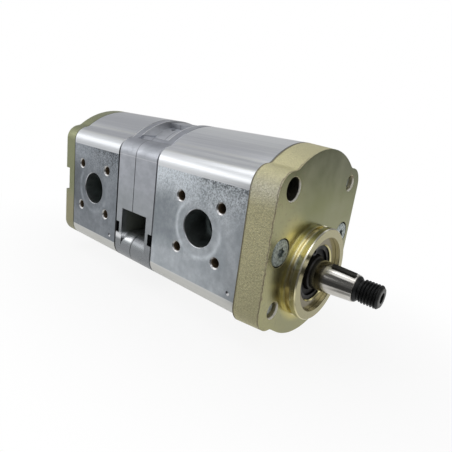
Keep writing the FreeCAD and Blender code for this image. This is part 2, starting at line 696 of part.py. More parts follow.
def front_cover():
    body = new_body("front_cover")
    face = new_sketch(body, "XZ_Plane")
    add_outline(face, "cover_corner_radius", "cover_hump_radius")
    joint = new_sketch(body, "XZ_Plane", "cover_thickness")
    add_outline(joint, "cover_joint_corner_radius", "body_hump_radius")
    casting = body.newObject("PartDesign::AdditiveLoft", "front_cover_casting")
    casting.Profile = face
    casting.Sections = [joint]
    casting.Ruled = True
    revolve(body, [
        ("spigot_root", "zero"), ("spigot_root", "spigot_radius"),
        ("spigot_groove_back", "spigot_radius"), ("spigot_groove_back", "spigot_groove_radius"),
        ("spigot_groove_front", "spigot_groove_radius"), ("spigot_groove_front", "spigot_radius"),
        ("spigot_chamfer_place", "spigot_radius"), ("spigot_face", "spigot_chamfer_radius"),
        ("spigot_face", "spigot_recess_radius"), ("spigot_recess_floor", "spigot_recess_radius"),
        ("spigot_recess_floor", "zero")])
    revolve(body, [
        ("bore_cut_start", "zero"), ("bore_cut_start", "seal_mouth_radius"),
        ("spigot_recess_floor", "seal_mouth_radius"), ("seal_mouth_place", "seal_bore_radius"),
        ("ring_groove_front", "seal_bore_radius"), ("ring_groove_front", "ring_groove_radius"),
        ("ring_groove_back", "ring_groove_radius"), ("ring_groove_back", "seal_bore_radius"),
        ("seal_seat_place", "seal_bore_radius"), ("seal_seat_place", "shaft_bore_radius"),
        ("bore_cut_end", "shaft_bore_radius"), ("bore_cut_end", "zero")], "PartDesign::Groove")
    cut_round(body, with_radius(MOUNT_HOLES, "mount_hole_radius"), "zero", "cover_thickness")
    cut_round(body, with_radius(LONG_SCREWS, "thread_hole_radius"), "zero", "cover_thickness")
    cut_round(body, with_radius(SHORT_SCREWS, "screw_hole_radius"), "zero", "cover_thickness")
    cut_round(body, with_radius(SHORT_SCREWS, "flush_seat_radius"), "zero", "flush_seat_depth")
    dowel_holes(body, "cover_thickness", turned=True)
    mouths = [(across, "zero", up) for across, up in MOUNT_HOLES]
    chamfer(body, "mount_hole_chamfer", mouths, "mount_hole_radius")
    mouths = [(across, "zero", up) for across, up in LONG_SCREWS]
    chamfer(body, "thread_mouth_chamfer", mouths, "thread_hole_radius")
    return body


def rear_cover():
    body = new_body("rear_cover")
    joint = new_sketch(body, "XZ_Plane", "rear_cover_place")
    add_outline(joint, "body_corner_radius", "body_hump_radius")
    plate = pad(body, joint, "rear_cover_thickness")
    rounding = body.newObject("PartDesign::Fillet", "rear_cover_rounding")
    rounding.Base = (plate, end_edges(plate, ["back_place"]))
    rounding.setExpression("Radius", linked("rear_edge_radius"))
    corner_holes(body, "rear_cover_place", "rear_cover_thickness")
    cut_round(body, with_radius(SHORT_SCREWS, "screw_hole_radius"), "rear_cover_place", "rear_cover_thickness")
    cut_round(body, with_radius(SHORT_SCREWS, "rear_seat_radius"), "rear_seat_place", "rear_seat_depth")
    seats = new_sketch(body, "XZ_Plane", "rear_seat_place")
    for inner, outer in (("-short_screw_across", "-body_side"), ("short_screw_across", "body_side")):
        left, right = sorted((inner, outer), key=size)
        add_box(seats, left, right, "rear_seat_bottom", "rear_seat_top")
    pocket(body, seats, "rear_seat_depth")
    dowel_holes(body, "rear_cover_place")
    return body


# Pump bodies

def port(body, stage, kind):
    """A port bore, the passage into the gear chamber and four screw holes: suction on the
    -X side, pressure on +X."""
    face = "body_side" if kind == "pressure" else "-body_side"
    inward = kind == "suction"
    place = stage + "_port_place"
    bore = new_sketch(body, "YZ_Plane", face)
    add_circle(bore, place, "gear_middle", kind + "_bore_radius")
    pocket(body, bore, "port_bore_depth", inward)
    passage = new_sketch(body, "YZ_Plane", face)
    add_circle(passage, place, "gear_middle", kind + "_passage_radius")
    pocket(body, passage, "port_depth", inward)
    screws = [(f"{stage}_{kind}_{way}", f"{kind}_{level}") for way in ("near", "far") for level in ("bottom", "top")]
    holes = new_sketch(body, "YZ_Plane", face)
    for along, up in screws:
        add_circle(holes, along, up, "port_screw_radius")
    pocket(body, holes, "port_screw_depth", inward)
    chamfer(body, "port_mouth_chamfer", [(face, place, "gear_middle")], kind + "_bore_radius")
    chamfer(body, "port_screw_chamfer", [(face, along, up) for along, up in screws], "port_screw_radius")


def face_seal_groove(body, place, turned):
    groove = new_sketch(body, "XZ_Plane", place)
    add_stadium(groove, "face_seal_outer_radius")
    add_stadium(groove, "face_seal_inner_radius")
    pocket(body, groove, "face_seal_depth", turned)


def pump_body(label, stage, start, end, length):
    body = new_body(label)
    outline = new_sketch(body, "XZ_Plane", start)
    add_outline(outline, "body_corner_radius", "body_hump_radius")
    pad(body, outline, length)
    chamfer_ends(body, "body_end_chamfer", (start, end))
    for height in ("zero", "centre_distance"):
        cut_round(body, [("zero", height, "gear_bore_radius")], start, length)
    corner_holes(body, start, length)
    face_seal_groove(body, start, turned=False)
    face_seal_groove(body, end, turned=True)
    dowel_holes(body, start)
    dowel_holes(body, end, turned=True)
    if stage == "front":
        cut_round(body, with_radius(SHORT_SCREWS, "thread_hole_radius"), start, "front_screw_bottom")
    else:
        cut_round(body, with_radius(SHORT_SCREWS, "thread_hole_radius"), end, "rear_screw_bottom", turned=True)
    port(body, stage, "suction")
    port(body, stage, "pressure")
    mark = new_sketch(body, "YZ_Plane", "-body_side")
    add_circle(mark, stage + "_mark_place", "mark_height", "mark_radius")
    pocket(body, mark, "mark_depth", turned=True)
    return body


# Intermediate section

def intermediate(label, flange_place, waist_place, waist_length, whole_place, whole_length, pry_place, joint, rear):
    """One of the two castings between the pump bodies: a flange against its pump body,
    and a waist of a crown with a pocket in its suction side, a barrel, four corner columns
    and two side walls."""
    body = new_body(label)
    flange = new_sketch(body, "XZ_Plane", flange_place)
    add_outline(flange, "body_corner_radius", "body_hump_radius")
    pad(body, flange, "flange_thickness")
    chamfer_ends(body, "flange_chamfer", [joint])
    crown = new_sketch(body, "XZ_Plane", waist_place)
    add_crown(crown)
    pad(body, crown, waist_length)
    hollow = new_sketch(body, "XZ_Plane", waist_place)
    add_box(hollow, "-crown_pocket_edge", "-rib_half_width", "corner_top", "hump_top")
    pocket(body, hollow, waist_length)
    barrel = new_sketch(body, "XZ_Plane", waist_place)
    add_stadium(barrel, "barrel_radius")
    pad(body, barrel, waist_length)
    columns = new_sketch(body, "XZ_Plane", waist_place)
    for across in ("-corner_across", "corner_across"):
        for up in ("corner_top", "corner_bottom"):
            add_circle(columns, across, up, "body_corner_radius")
    pad(body, columns, waist_length)
    walls = new_sketch(body, "XZ_Plane", waist_place)
    add_box(walls, "-body_side", "body_side", "window_top", "corner_top")
    pad(body, walls, waist_length)
    cut_round(body, [("zero", "zero", "inner_seal_radius")], whole_place, whole_length)
    cut_round(body, [("zero", "zero", "coupling_chamber_radius")], waist_place, waist_length)
    window = new_sketch(body, "XZ_Plane", waist_place)
    add_box(window, "-body_side", "body_side", "window_bottom", "window_top")
    pocket(body, window, waist_length)
    corner_holes(body, whole_place, whole_length)
    dowel_holes(body, joint, turned=rear)
    slots = new_sketch(body, "XZ_Plane", pry_place)
    add_box(slots, "-body_side", "-pry_slot_across", "pry_slot_bottom", "pry_slot_top")
    add_box(slots, "pry_slot_across", "body_side", "pry_slot_bottom", "pry_slot_top")
    pocket(body, slots, "pry_slot_width")
    return body


def intermediate_front():
    return intermediate("intermediate_front", "intermediate_place", "front_flange_end", "front_waist_length",
                        "intermediate_place", "intermediate_front_length", "front_pry_place",
                        "intermediate_place", rear=False)


def intermediate_rear():
    body = intermediate("intermediate_rear", "rear_flange_place", "split_place", "rear_waist_length",
                        "split_place", "intermediate_rear_length", "rear_pry_place",
                        "rear_body_place", rear=True)
    vent = new_sketch(body, "XY_Plane", "vent_top")
    add_circle(vent, "-vent_across", "vent_place", "vent_hole_radius")
    pocket(body, vent, "vent_depth")
    return body


# Bearings

def bearing_block(label, place, end, inward):
    """A floating block with the shape of both gear bores. Its seal groove faces away
    from the gears, and its two relief pockets face them."""
    body = new_body(label)
    for height in ("zero", "centre_distance"):
        disc = new_sketch(body, "XZ_Plane", place)
        add_circle(disc, "zero", height, "block_radius")
        pad(body, disc, "block_length")
    cut_round(body, [("zero", height, "bush_seat_radius") for height in ("zero", "centre_distance")],
              place, "block_length")
    gear_side, seal_side = (end, place) if inward else (place, end)
    relief = new_sketch(body, "XZ_Plane", gear_side)
    add_box(relief, "relief_start", "relief_reach", "relief_bottom", "relief_top")
    add_box(relief, "-relief_reach", "-relief_start", "relief_bottom", "relief_top")
    pocket(body, relief, "relief_depth", turned=inward)
    groove = new_sketch(body, "XZ_Plane", seal_side)
    add_three(groove, "axial_seal_inner_radius", "axial_seal_outer_radius", "axial_seal_bar", "axial_seal_cut")
    pocket(body, groove, "axial_seal_depth", turned=not inward)
    return body


def add_three(sketch, inner, outer, bar, cut):
    """The outline of a seal like a figure three: two open rings about the gear axes,
    open towards the suction side and joined by a bar between the axes."""
    top = size("centre_distance")
    small = size(inner)
    large = size(outer)

    def crossing(radius, across, level, height):
        """Where a ring crosses an upright line, above or below its own axis."""
        x = size(across)
        return Vector(x, height + level * math.sqrt(radius ** 2 - x ** 2), 0)

    left = "-" + cut
    left_bar = "-" + bar
    low = Vector(0, 0, 0)
    high = Vector(0, top, 0)
    # each arc: its axis and radius name, and its two ends. Each line: its place across and ends.
    low_outer_bottom = crossing(large, left, -1, 0)
    low_outer_right = crossing(large, bar, 1, 0)
    high_outer_right = crossing(large, bar, -1, top)
    high_outer_top = crossing(large, left, 1, top)
    high_inner_top = crossing(small, left, 1, top)
    high_inner_bottom = crossing(small, left, -1, top)
    high_outer_bottom = crossing(large, left, -1, top)
    high_outer_left = crossing(large, left_bar, -1, top)
    low_outer_left = crossing(large, left_bar, 1, 0)
    low_outer_top = crossing(large, left, 1, 0)
    low_inner_top = crossing(small, left, 1, 0)
    low_inner_bottom = crossing(small, left, -1, 0)
    arcs = [
        (low, outer, low_outer_bottom, low_outer_right),
        (high, outer, high_outer_right, high_outer_top),
        (high, inner, high_inner_bottom, high_inner_top),
        (high, outer, high_outer_bottom, high_outer_left),
        (low, outer, low_outer_left, low_outer_top),
        (low, inner, low_inner_bottom, low_inner_top),
    ]
    lines = [
        (bar, low_outer_right, high_outer_right),
        (left, high_outer_top, high_inner_top),
        (left, high_inner_bottom, high_outer_bottom),
        (left_bar, high_outer_left, low_outer_left),
        (left, low_outer_top, low_inner_top),
        (left, low_inner_bottom, low_outer_bottom),
    ]
    ends = []
    for axis, radius, start, end in arcs:
        piece = sketch.addGeometry(arc_between(axis, size(radius), start, end))
        place_point(sketch, piece, 3, "zero", "centre_distance" if axis == high else "zero")
        dimension(sketch, "Radius", piece, radius)
        ends += [(piece, 1, start), (piece, 2, end)]
    for across, start, end in lines:
        piece = sketch.addGeometry(Part.LineSegment(start, end))
        constrain(sketch, "Vertical", piece)
        dimension(sketch, "DistanceX", -1, 1, piece, 1, across)
        for point, spot in ((1, start), (2, end)):
            arc, arc_point = next((arc, at) for arc, at, other in ends if (other - spot).Length < 1e-6)
            constrain(sketch, "Coincident", arc, arc_point, piece, point)


def rod(label, across, place, up, radius, length):
    """A cylinder along the shaft, from a place to the rear."""
    piece = document.addObject("Part::Cylinder", label)
    piece.setExpression("Radius", linked(radius))
    piece.setExpression("Height", linked(length))
    piece.Placement = FreeCAD.Placement(Vector(), ALONG_SHAFT)
    for axis, name in (("x", across), ("y", place), ("z", up)):
        if name != "zero":
            piece.setExpression("Placement.Base." + axis, linked(name))
    return piece


def bush(label, block, height):
    """A plain bearing bush, set back from both faces of its block."""
    place = block + "_block_place + bush_setback"
    ring = document.addObject("Part::Cut", label)
    ring.Base = rod(label + "_outer", "zero", place, height, "bush_outer_radius", "bush_length")
    ring.Tool = rod(label + "_inner", "zero", place, height, "bush_inner_radius", "bush_length")
    return ring


def axial_seal(label, place, thickness_forward):
    body = new_body(label)
    sketch = new_sketch(body, "XZ_Plane", place)
    add_three(sketch, "axial_ring_inner", "axial_ring_outer", "axial_ring_bar", "axial_ring_cut")
    pad(body, sketch, "axial_ring_thickness", forward=thickness_forward)
    return body


def body_seal(label, place, thickness_forward):
    body = new_body(label)
    sketch = new_sketch(body, "XZ_Plane", place)
    add_stadium(sketch, "face_seal_ring_outer")
    add_stadium(sketch, "face_seal_ring_inner")
    pad(body, sketch, "face_seal_thickness", forward=thickness_forward)
    return body


# Gears and shafts

def involute_angle(angle):
    return math.tan(angle) - angle


def gear_outline(first_angle):
    """The face of a gear in the XZ plane. Its first tooth points at an angle from +X to +Z.
    The teeth are made thicker until two such gears mesh at the centre distance."""
    count = int(size("tooth_count"))
    reference = size("tooth_module") * count / 2
    pressure = math.radians(size("pressure_angle"))
    base = reference * math.cos(pressure)
    working = math.acos(2 * base / size("centre_distance"))
    widening = (involute_angle(working) - involute_angle(pressure)) * reference
    half_tooth = math.pi * size("tooth_module") / 4 + widening - size("tooth_thinning") / 2
    half_at_base = half_tooth / reference + involute_angle(pressure)
    tip = size("tip_radius")
    root = size("root_radius")
    fillet = size("root_fillet_radius")
    foot = math.sqrt((root + fillet) ** 2 - fillet ** 2)
    foot_angle = math.asin(fillet / (root + fillet))

    def spot(radius, angle):
        return Vector(radius * math.cos(angle), 0, radius * math.sin(angle))

    def flank(centre, side):
        """Points from the base circle to the tip, on one side of a tooth."""
        points = []
        for step in range(6):
            radius = base + (tip - base) * step / 5
            lean = half_at_base - involute_angle(math.acos(base / radius))
            points.append(spot(radius, centre + side * lean))
        return points

    def fillet_arc(start, end, angle):
        middle = spot(root + fillet, angle)
        toward = (start - middle) + (end - middle)
        return Part.Arc(start, middle + toward * (fillet / toward.Length), end).toShape()

    def curve(points):
        line = Part.BSplineCurve()
        line.interpolate(points)
        return line.toShape()

    edges = []
    for tooth in range(count):
        centre = math.radians(first_angle) + 2 * math.pi * tooth / count
        rise = centre - half_at_base
        fall = centre + half_at_base
        next_rise = centre + 2 * math.pi / count - half_at_base
        up = flank(centre, -1)
        down = flank(centre, 1)[::-1]
        root_start = spot(root, fall + foot_angle)
        root_end = spot(root, next_rise - foot_angle)
        edges += [
            Part.makeLine(spot(foot, rise), up[0]),
            curve(up),
            Part.Arc(up[-1], spot(tip, centre), down[0]).toShape(),
            curve(down),
            Part.makeLine(down[-1], spot(foot, fall)),
            fillet_arc(spot(foot, fall), root_start, fall + foot_angle),
            Part.Arc(root_start, spot(root, (fall + next_rise) / 2), root_end).toShape(),
            fillet_arc(root_end, spot(foot, next_rise), next_rise - foot_angle),
        ]
    return Part.Face(Part.Wire(edges))


def gear(label, shaft, place, width, height, first_angle):
    """A ring of teeth joined to its shaft."""
    teeth = document.addObject("Part::Feature", label + "_teeth")
    teeth.Shape = gear_outline(first_angle).extrude(Vector(0, size(width), 0))
    teeth.Placement.Base = Vector(0, size(place), size(height))
    joined = document.addObject("Part::MultiFuse", label)
    joined.Shapes = [shaft, teeth]
    joined.Refine = True
    return joined


def flat_tang(body, place, across):
    """Cut a flat tang, thin along Z or along X, at the end of a shaft."""
    sketch = new_sketch(body, "XZ_Plane", place)
    for inner, outer in (("tang_half", "shaft_bore_radius"), ("-shaft_bore_radius", "-tang_half")):
        if across == "thin along Z":
            add_box(sketch, "-shaft_bore_radius", "shaft_bore_radius", inner, outer)
        else:
            add_box(sketch, inner, outer, "-shaft_bore_radius", "shaft_bore_radius")
    pocket(body, sketch, "tang_length")


def front_drive_gear():
    body = new_body("front_drive_shaft")
    revolve(body, [
        ("shaft_end", "zero"), ("shaft_end", "thread_end_radius"), ("thread_end", "thread_radius"),
        ("thread_start", "thread_radius"), ("thread_start", "neck_radius"), ("shoulder_end", "neck_radius"),
        ("shoulder_end", "shoulder_chamfer_radius"), ("shoulder_chamfer_place", "shoulder_radius"),
        ("taper_end", "shoulder_radius"), ("taper_end", "taper_small_radius"),
        ("taper_start", "taper_big_radius"), ("journal_start", "journal_radius"),
        ("front_tang_end", "journal_radius"), ("front_tang_end", "zero")])
    revolve(body, [
        ("shaft_end", "zero"), ("shaft_end", "centre_hole_radius"), ("centre_hole_end", "centre_hole_radius"),
        ("centre_hole_cone_end", "zero")], "PartDesign::Groove")
    flat_tang(body, "front_tang_place", "thin along Z")
    slot = key_sketch(body)
    add_circle(slot, "zero", "zero", "key_seat_radius")
    seat = pocket(body, slot, "key_seat_width")
    seat.SideType = "Symmetric"
    return gear("front_drive_gear", body, "front_gear_place", "front_gear_width", "zero", 90)


def rear_drive_gear():
    body = new_body("rear_drive_shaft")
    revolve(body, [("rear_tang_place", "zero"), ("rear_tang_place", "journal_radius"),
                   ("rear_shaft_rear", "journal_radius"), ("rear_shaft_rear", "zero")])
    flat_tang(body, "rear_tang_place", "thin along X")
    return gear("rear_drive_gear", body, "rear_gear_place", "rear_gear_width", "zero", 90)


def driven_gear(stage):
    shaft = rod(stage + "_driven_shaft", "zero", stage + "_block_place", "centre_distance",
                "journal_radius", stage + "_idler_length")
    gap_angle = -90 + 180 / size("tooth_count")
    return gear(stage + "_driven_gear", shaft, stage + "_gear_place", stage + "_gear_width",
                "centre_distance", gap_angle)


def key_sketch(body):
    """A sketch in the middle plane of the key, about the centre of its round edge. The key
    lies along the taper and is turned about the shaft, towards -X."""
    sketch = new_sketch(body, "YZ_Plane")
    turn = FreeCAD.Rotation(Vector(1, 0, 0), -size("key_turn"))
    tilt = FreeCAD.Rotation(Vector(0, 0, 1), math.degrees(math.atan(0.5 / size("taper_length_per_unit"))))
    centre = turn.multVec(Vector(size("key_place"), size("key_centre"), 0))
    sketch.AttachmentOffset = FreeCAD.Placement(centre, turn.multiply(tilt))
    return sketch


def woodruff_key():
    body = new_body("woodruff_key")
    sketch = key_sketch(body)
    front = Vector(-size("key_half_length"), size("key_chord"), 0)
    rear = Vector(size("key_half_length"), size("key_chord"), 0)
    arc = sketch.addGeometry(arc_between(Vector(), size("key_radius"), front, rear))
    top = sketch.addGeometry(Part.LineSegment(rear, front))
    place_point(sketch, arc, 3, "zero", "zero")
    dimension(sketch, "Radius", arc, "key_radius")
    constrain(sketch, "Coincident", arc, 2, top, 1)
    constrain(sketch, "Coincident", top, 2, arc, 1)
    constrain(sketch, "Horizontal", top)
    dimension(sketch, "DistanceY", -1, 1, top, 1, "key_chord")
    key = pad(body, sketch, "key_width")
    key.SideType = "Symmetric"
    return body


def coupling_disc():
    """A disc with a slot in each face, crosswise, for the tangs of the two drive shafts."""
    body = new_body("coupling_disc")
    disc = new_sketch(body, "XZ_Plane", "coupling_place")
    add_circle(disc, "zero", "zero", "coupling_radius")
    pad(body, disc, "coupling_length")
    chamfer_ends(body, "coupling_chamfer", ("coupling_place", "coupling_end"))
    front = new_sketch(body, "XZ_Plane", "coupling_place")
    add_box(front, "-coupling_radius", "coupling_radius", "-coupling_slot_half", "coupling_slot_half")
    pocket(body, front, "coupling_slot_depth")
    rear = new_sketch(body, "XZ_Plane", "rear_slot_place")
    add_box(rear, "-coupling_slot_half", "coupling_slot_half", "-coupling_radius", "coupling_radius")
    pocket(body, rear, "coupling_slot_depth")
    return body


# Shaft seals

def lip_seal(label, name, radius, case_radius):
    """A shaft seal: a case, a web and a lip that points away from the closed side."""
    body = new_body(label)
    closed, web, lip, opened = (f"{name}_{part}" for part in ("closed", "web", "lip", "open"))
    revolve(body, [
        (closed, "seal_throat_radius"), (closed, radius), (opened, radius), (opened, case_radius),
        (web, case_radius), (web, "seal_neck_radius"), (lip, "seal_neck_radius"),
        (lip, "seal_lip_radius"), (web, "seal_lip_radius")])
    return body


def retaining_ring():
    """An inner retaining ring with an eared end on each side of its gap. It is made with
    the gap at the bottom and then turned about the shaft."""
    body = new_body("seal_retaining_ring")
    ring = new_sketch(body, "XZ_Plane", "ring_front")
    add_circle(ring, "zero", "zero", "ring_outer_radius")
    add_circle(ring, "zero", "zero", "ring_inner_radius")
    pad(body, ring, "ring_thickness")
    gap = new_sketch(body, "XZ_Plane", "ring_front")
    add_box(gap, "-ring_gap_half", "ring_gap_half", "-ring_groove_radius", "-journal_radius")
    pocket(body, gap, "ring_thickness")
    for across in ("-ring_ear_across", "ring_ear_across"):
        ear = new_sketch(body, "XZ_Plane", "ring_front")
        add_circle(ear, across, "ring_ear_height", "ring_ear_radius")
        pad(body, ear, "ring_thickness")
    holes = [(across, "ring_ear_height", "ring_ear_hole_radius") for across in ("-ring_ear_across", "ring_ear_across")]
    cut_round(body, holes, "ring_front", "ring_thickness")
    body.Placement = FreeCAD.Placement(Vector(), FreeCAD.Rotation(Vector(0, 1, 0), size("ring_turn")))
    return body


# Fasteners. Each node is a group of loose pieces of one kind.

def group(label, pieces):
    compound = document.addObject("Part::Compound", label)
    compound.Links = pieces
    return compound


def screw(label, across, up, head_place, head_radius, head_height, shank_place, shank_length):
    joined = document.addObject("Part::MultiFuse", label)
    joined.Shapes = [rod(label + "_head", across, head_place, up, head_radius, head_height),
                     rod(label + "_shank", across, shank_place, up, "screw_radius", shank_length)]
    joined.Refine = True
    return joined


def front_star_screws():
    return group("front_star_screws", [
        screw(f"front_screw_{number}", across, up, "zero", "flush_head_radius", "flush_head_height",
              "zero", "front_screw_length")
        for number, (across, up) in enumerate(SHORT_SCREWS, start=1)])


def rear_cover_screws():
    return group("rear_cover_screws", [
        screw(f"rear_screw_{number}", across, up, "rear_seat_place", "screw_head_radius", "screw_head_height",
              "rear_screw_place", "rear_screw_length")
        for number, (across, up) in enumerate(SHORT_SCREWS, start=1)])


def through_screws():
    return group("through_screws", [
        screw(f"long_screw_{number}", across, up, "back_place", "screw_head_radius", "screw_head_height",
              "long_screw_inset", "long_screw_length")
        for number, (across, up) in enumerate(LONG_SCREWS, start=1)])


def dowels():
    joints = ("front_body_place", "intermediate_place", "rear_body_place", "rear_cover_place")
    return group("dowels", [
        rod(f"dowel_{number}_{side}", across, joint + " - dowel_half_length", up, "dowel_radius",
            "2 * dowel_half_length")
        for number, joint in enumerate(joints, start=1)
        for side, (across, up) in enumerate(DOWELS, start=1)])


# The whole pump

nodes = [
    front_cover(),
    pump_body("front_body", "front", "front_body_place", "intermediate_place", "front_body_length"),
    intermediate_front(),
    intermediate_rear(),
    pump_body("rear_body", "rear", "rear_body_place", "rear_cover_place", "rear_body_length"),
    rear_cover(),
    lip_seal("shaft_seal", "shaft_seal", "shaft_seal_radius", "shaft_seal_case_radius"),
    lip_seal("front_stage_seal", "front_stage_seal", "stage_seal_radius", "stage_seal_case_radius"),
    lip_seal("rear_stage_seal", "rear_stage_seal", "stage_seal_radius", "stage_seal_case_radius"),
    retaining_ring(),
    front_drive_gear(),
    driven_gear("front"),
    rear_drive_gear(),
    driven_gear("rear"),
    woodruff_key(),
    coupling_disc(),
    front_star_screws(),
    rear_cover_screws(),
    through_screws(),
    dowels(),
]

BLOCKS = {"front": "front_block_front", "middle": "front_block_rear",
          "rear": "rear_block_front", "back": "rear_block_rear"}
for block, name in BLOCKS.items():
    faces_rear = block in ("front", "rear")
    nodes.append(bearing_block(name, block + "_block_place", block + "_block_end", inward=faces_rear))
    nodes.append(bush(name + "_drive_bush", block, "zero"))
    nodes.append(bush(name + "_driven_bush", block, "centre_distance"))
    seal_face = block + ("_block_place" if faces_rear else "_block_end")
    nodes.append(axial_seal(name + "_axial_seal", seal_face, thickness_forward=not faces_rear))

BODY_JOINTS = {"front_body_seal_front": ("front_body_place", False),
               "front_body_seal_rear": ("intermediate_place", True),
               "rear_body_seal_front": ("rear_body_place", False),
               "rear_body_seal_rear": ("rear_cover_place", True)}
for name, (joint, forward) in BODY_JOINTS.items():
    nodes.append(body_seal(name, joint, thickness_forward=forward))

document.recompute()

for item in document.Objects:
    if {"Invalid", "Error"} & set(item.State):
        raise RuntimeError(f"{item.Label} failed to build: {item.State}")
for node in nodes:
    if node.Shape.isNull() or not node.Shape.isValid() or not node.Shape.Solids:
        raise RuntimeError(f"{node.Label} has no valid solid")

os.makedirs("parts", exist_ok=True)
for node in nodes:
    node.Shape.exportStep(f"parts/{node.Label}.step")
    print(node.Label, len(node.Shape.Solids), "solids", round(node.Shape.Volume / 1000, 2), "cubic centimetres")
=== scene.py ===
import json
import math

import bmesh
import bpy
from mathutils import Matrix, Vector


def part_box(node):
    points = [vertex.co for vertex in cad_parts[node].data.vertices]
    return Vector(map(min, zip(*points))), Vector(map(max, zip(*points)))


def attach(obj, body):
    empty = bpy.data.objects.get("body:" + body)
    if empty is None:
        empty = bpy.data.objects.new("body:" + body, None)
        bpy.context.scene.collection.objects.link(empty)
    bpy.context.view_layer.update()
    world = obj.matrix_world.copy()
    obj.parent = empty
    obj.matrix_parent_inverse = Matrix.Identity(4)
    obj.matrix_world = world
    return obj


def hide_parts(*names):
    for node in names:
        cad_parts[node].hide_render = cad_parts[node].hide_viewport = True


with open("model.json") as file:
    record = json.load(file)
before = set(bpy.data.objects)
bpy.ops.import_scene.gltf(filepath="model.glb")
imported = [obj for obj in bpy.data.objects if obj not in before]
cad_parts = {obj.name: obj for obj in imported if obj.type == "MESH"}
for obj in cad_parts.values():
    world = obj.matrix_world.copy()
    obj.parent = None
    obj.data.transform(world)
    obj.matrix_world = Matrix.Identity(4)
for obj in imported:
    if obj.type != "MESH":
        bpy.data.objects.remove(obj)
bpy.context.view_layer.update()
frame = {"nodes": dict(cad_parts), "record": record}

bl_info = {
    "name": "Tandem gear pump",
    "version": (1, 0, 0),
    "blender": (4, 5, 0),
    "location": "View3D > Sidebar > Gear pump",
    "description": "Dresses a tandem gear pump in its metals and models its thread and screw heads",
    "category": "Object",
}

MM = 0.001
NODES = frame["nodes"]

# Places along the shaft, in millimetres from the mounting face.
COVER_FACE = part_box("front_body")[0].y / MM
BODY_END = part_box("front_body")[1].y / MM
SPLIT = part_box("intermediate_front")[1].y / MM
REAR_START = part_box("rear_body")[0].y / MM
REAR_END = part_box("rear_body")[1].y / MM
SHAFT_SHOULDER = -27.1
THREAD_START = -30.2
THREAD_END = -38.6
SHAFT_END = -39.7

# Places across the pump, in millimetres from the axis of the drive shaft: screws and holes as
# (x, z), the side of the bodies as an x, and two heights.
BODY_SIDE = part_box("front_body")[1].x / MM
MOUNT_HOLES = ((-30.0, 45.5), (30.0, -14.5))
LONG_SCREWS = ((30.0, 45.5), (-30.0, -14.5))
SHORT_SCREWS = ((-31.7, 15.5), (31.7, 15.5))
HUMP_START = 50.0
COVER_CORNER = 44.5

# The modelled pieces: sizes in millimetres, tapers as a share of the width, the angle in degrees,
# and the welding distance in metres.
SCREW_STEPS = 48
SMOOTH_ANGLE = 32.0
SOCKET_CONE = 0.35
SOCKET_TAPER = 0.72
TIP_CHAMFER = 0.8
TIP_TAPER = 0.82
CENTRE_HOLE_RADIUS = 2.7
CENTRE_HOLE_DEPTH = 4.6
WELD = 0.000001

# The milled flats: the ports as (y, z), and half the side of each square of tapped holes.
PORTS = ((45.5, 15.5), (142.0, 15.5))
SUCTION_SQUARE = 14.14
PRESSURE_SQUARE = 12.37
PORT_RADIUS = 10.35
PORT_HOLE_RADIUS = 2.75
PORT_MOUTH_RADIUS = 3.3
FLANGE_RING_RADIUS = 15.4
PRESSURE_RING_STEP = 1.8
FLAT_MIDDLE = 13.9
FLAT_HALF = 28.15
MARKS = (20.9, 122.4)
MARK_HEIGHT = -10.5

# The vent hole in the top of the intermediate section, as (x, y).
VENT = (-10.0, 103.2)

# The turned spigot of the front cover: radii, and places from the mounting face.
SPIGOT_EDGE = 24.6
GROOVE_FLOOR = 21.0
GROOVE = -2.9
SPIGOT_BEVEL = -6.8
SPIGOT_FRONT = -7.42
RECESS_RADIUS = 20.7
RECESS_FLOOR = -5.0
RECESS_WALL = -6.2
SEAL_BORE_RADIUS = 15.1

# Colours of the metals, and of the painted highlights, reflections and shade that are marked below.
# A painted highlight colour, for the upper corners of the front cover and the rims of its spigot.
GLEAM = (1.0, 0.98, 0.86)
# The front face, in painted reflections: dark at the top, lighter low down and on the left, a painted pool of
# light round the spigot and a painted shade beside it.
FACE_HIGH = (0.08, 0.088, 0.032)
FACE_MIDDLE = (0.24, 0.252, 0.112)
FACE_LEFT = (0.50, 0.475, 0.25)
FACE_LOW = (0.42, 0.41, 0.215)
FACE_POOL_OF_LIGHT = (0.80, 0.70, 0.26)
FACE_SHADE = (0.07, 0.055, 0.02)
TURNED_LIGHT = (0.86, 0.78, 0.42)
TURNED_DARK = (0.64, 0.59, 0.33)
TURNED_FRONT = (0.40, 0.372, 0.225)
# Painted shade in the holes, the screw seats and the seal bore of the front cover.
HOLE_SHADE = (0.012, 0.012, 0.008)
# Dark joint lines, and the painted shade in the vent hole.
JOINT_LINE_AND_VENT_SHADE = (0.02, 0.02, 0.02)
SATIN_LIGHT = (0.80, 0.82, 0.84)
SATIN_DARK = (0.60, 0.62, 0.66)
# Painted shade: the rear body, and the lower corner of the bodies.
SATIN_REAR = (0.46, 0.48, 0.50)
SATIN_LOW = (0.60, 0.595, 0.55)
FRONT_FLAT = ((0.62, 0.66, 0.695), (0.33, 0.37, 0.405))
REAR_FLAT = ((0.30, 0.325, 0.355), (0.15, 0.17, 0.19))
CASTING_LIGHT = (0.50, 0.52, 0.565)
CASTING_DARK = (0.37, 0.39, 0.425)
# Painted shade that darkens the castings towards the bottom.
CASTING_MIDDLE = (0.31, 0.335, 0.34)
CASTING_LOW = (0.19, 0.205, 0.21)
CASTING_FOOT = (0.27, 0.28, 0.295)
STEEL_LIGHT = (0.80, 0.78, 0.74)
STEEL_DARK = (0.62, 0.59, 0.54)
ZINC_LIGHT = (0.64, 0.71, 0.69)
ZINC_DARK = (0.20, 0.235, 0.22)

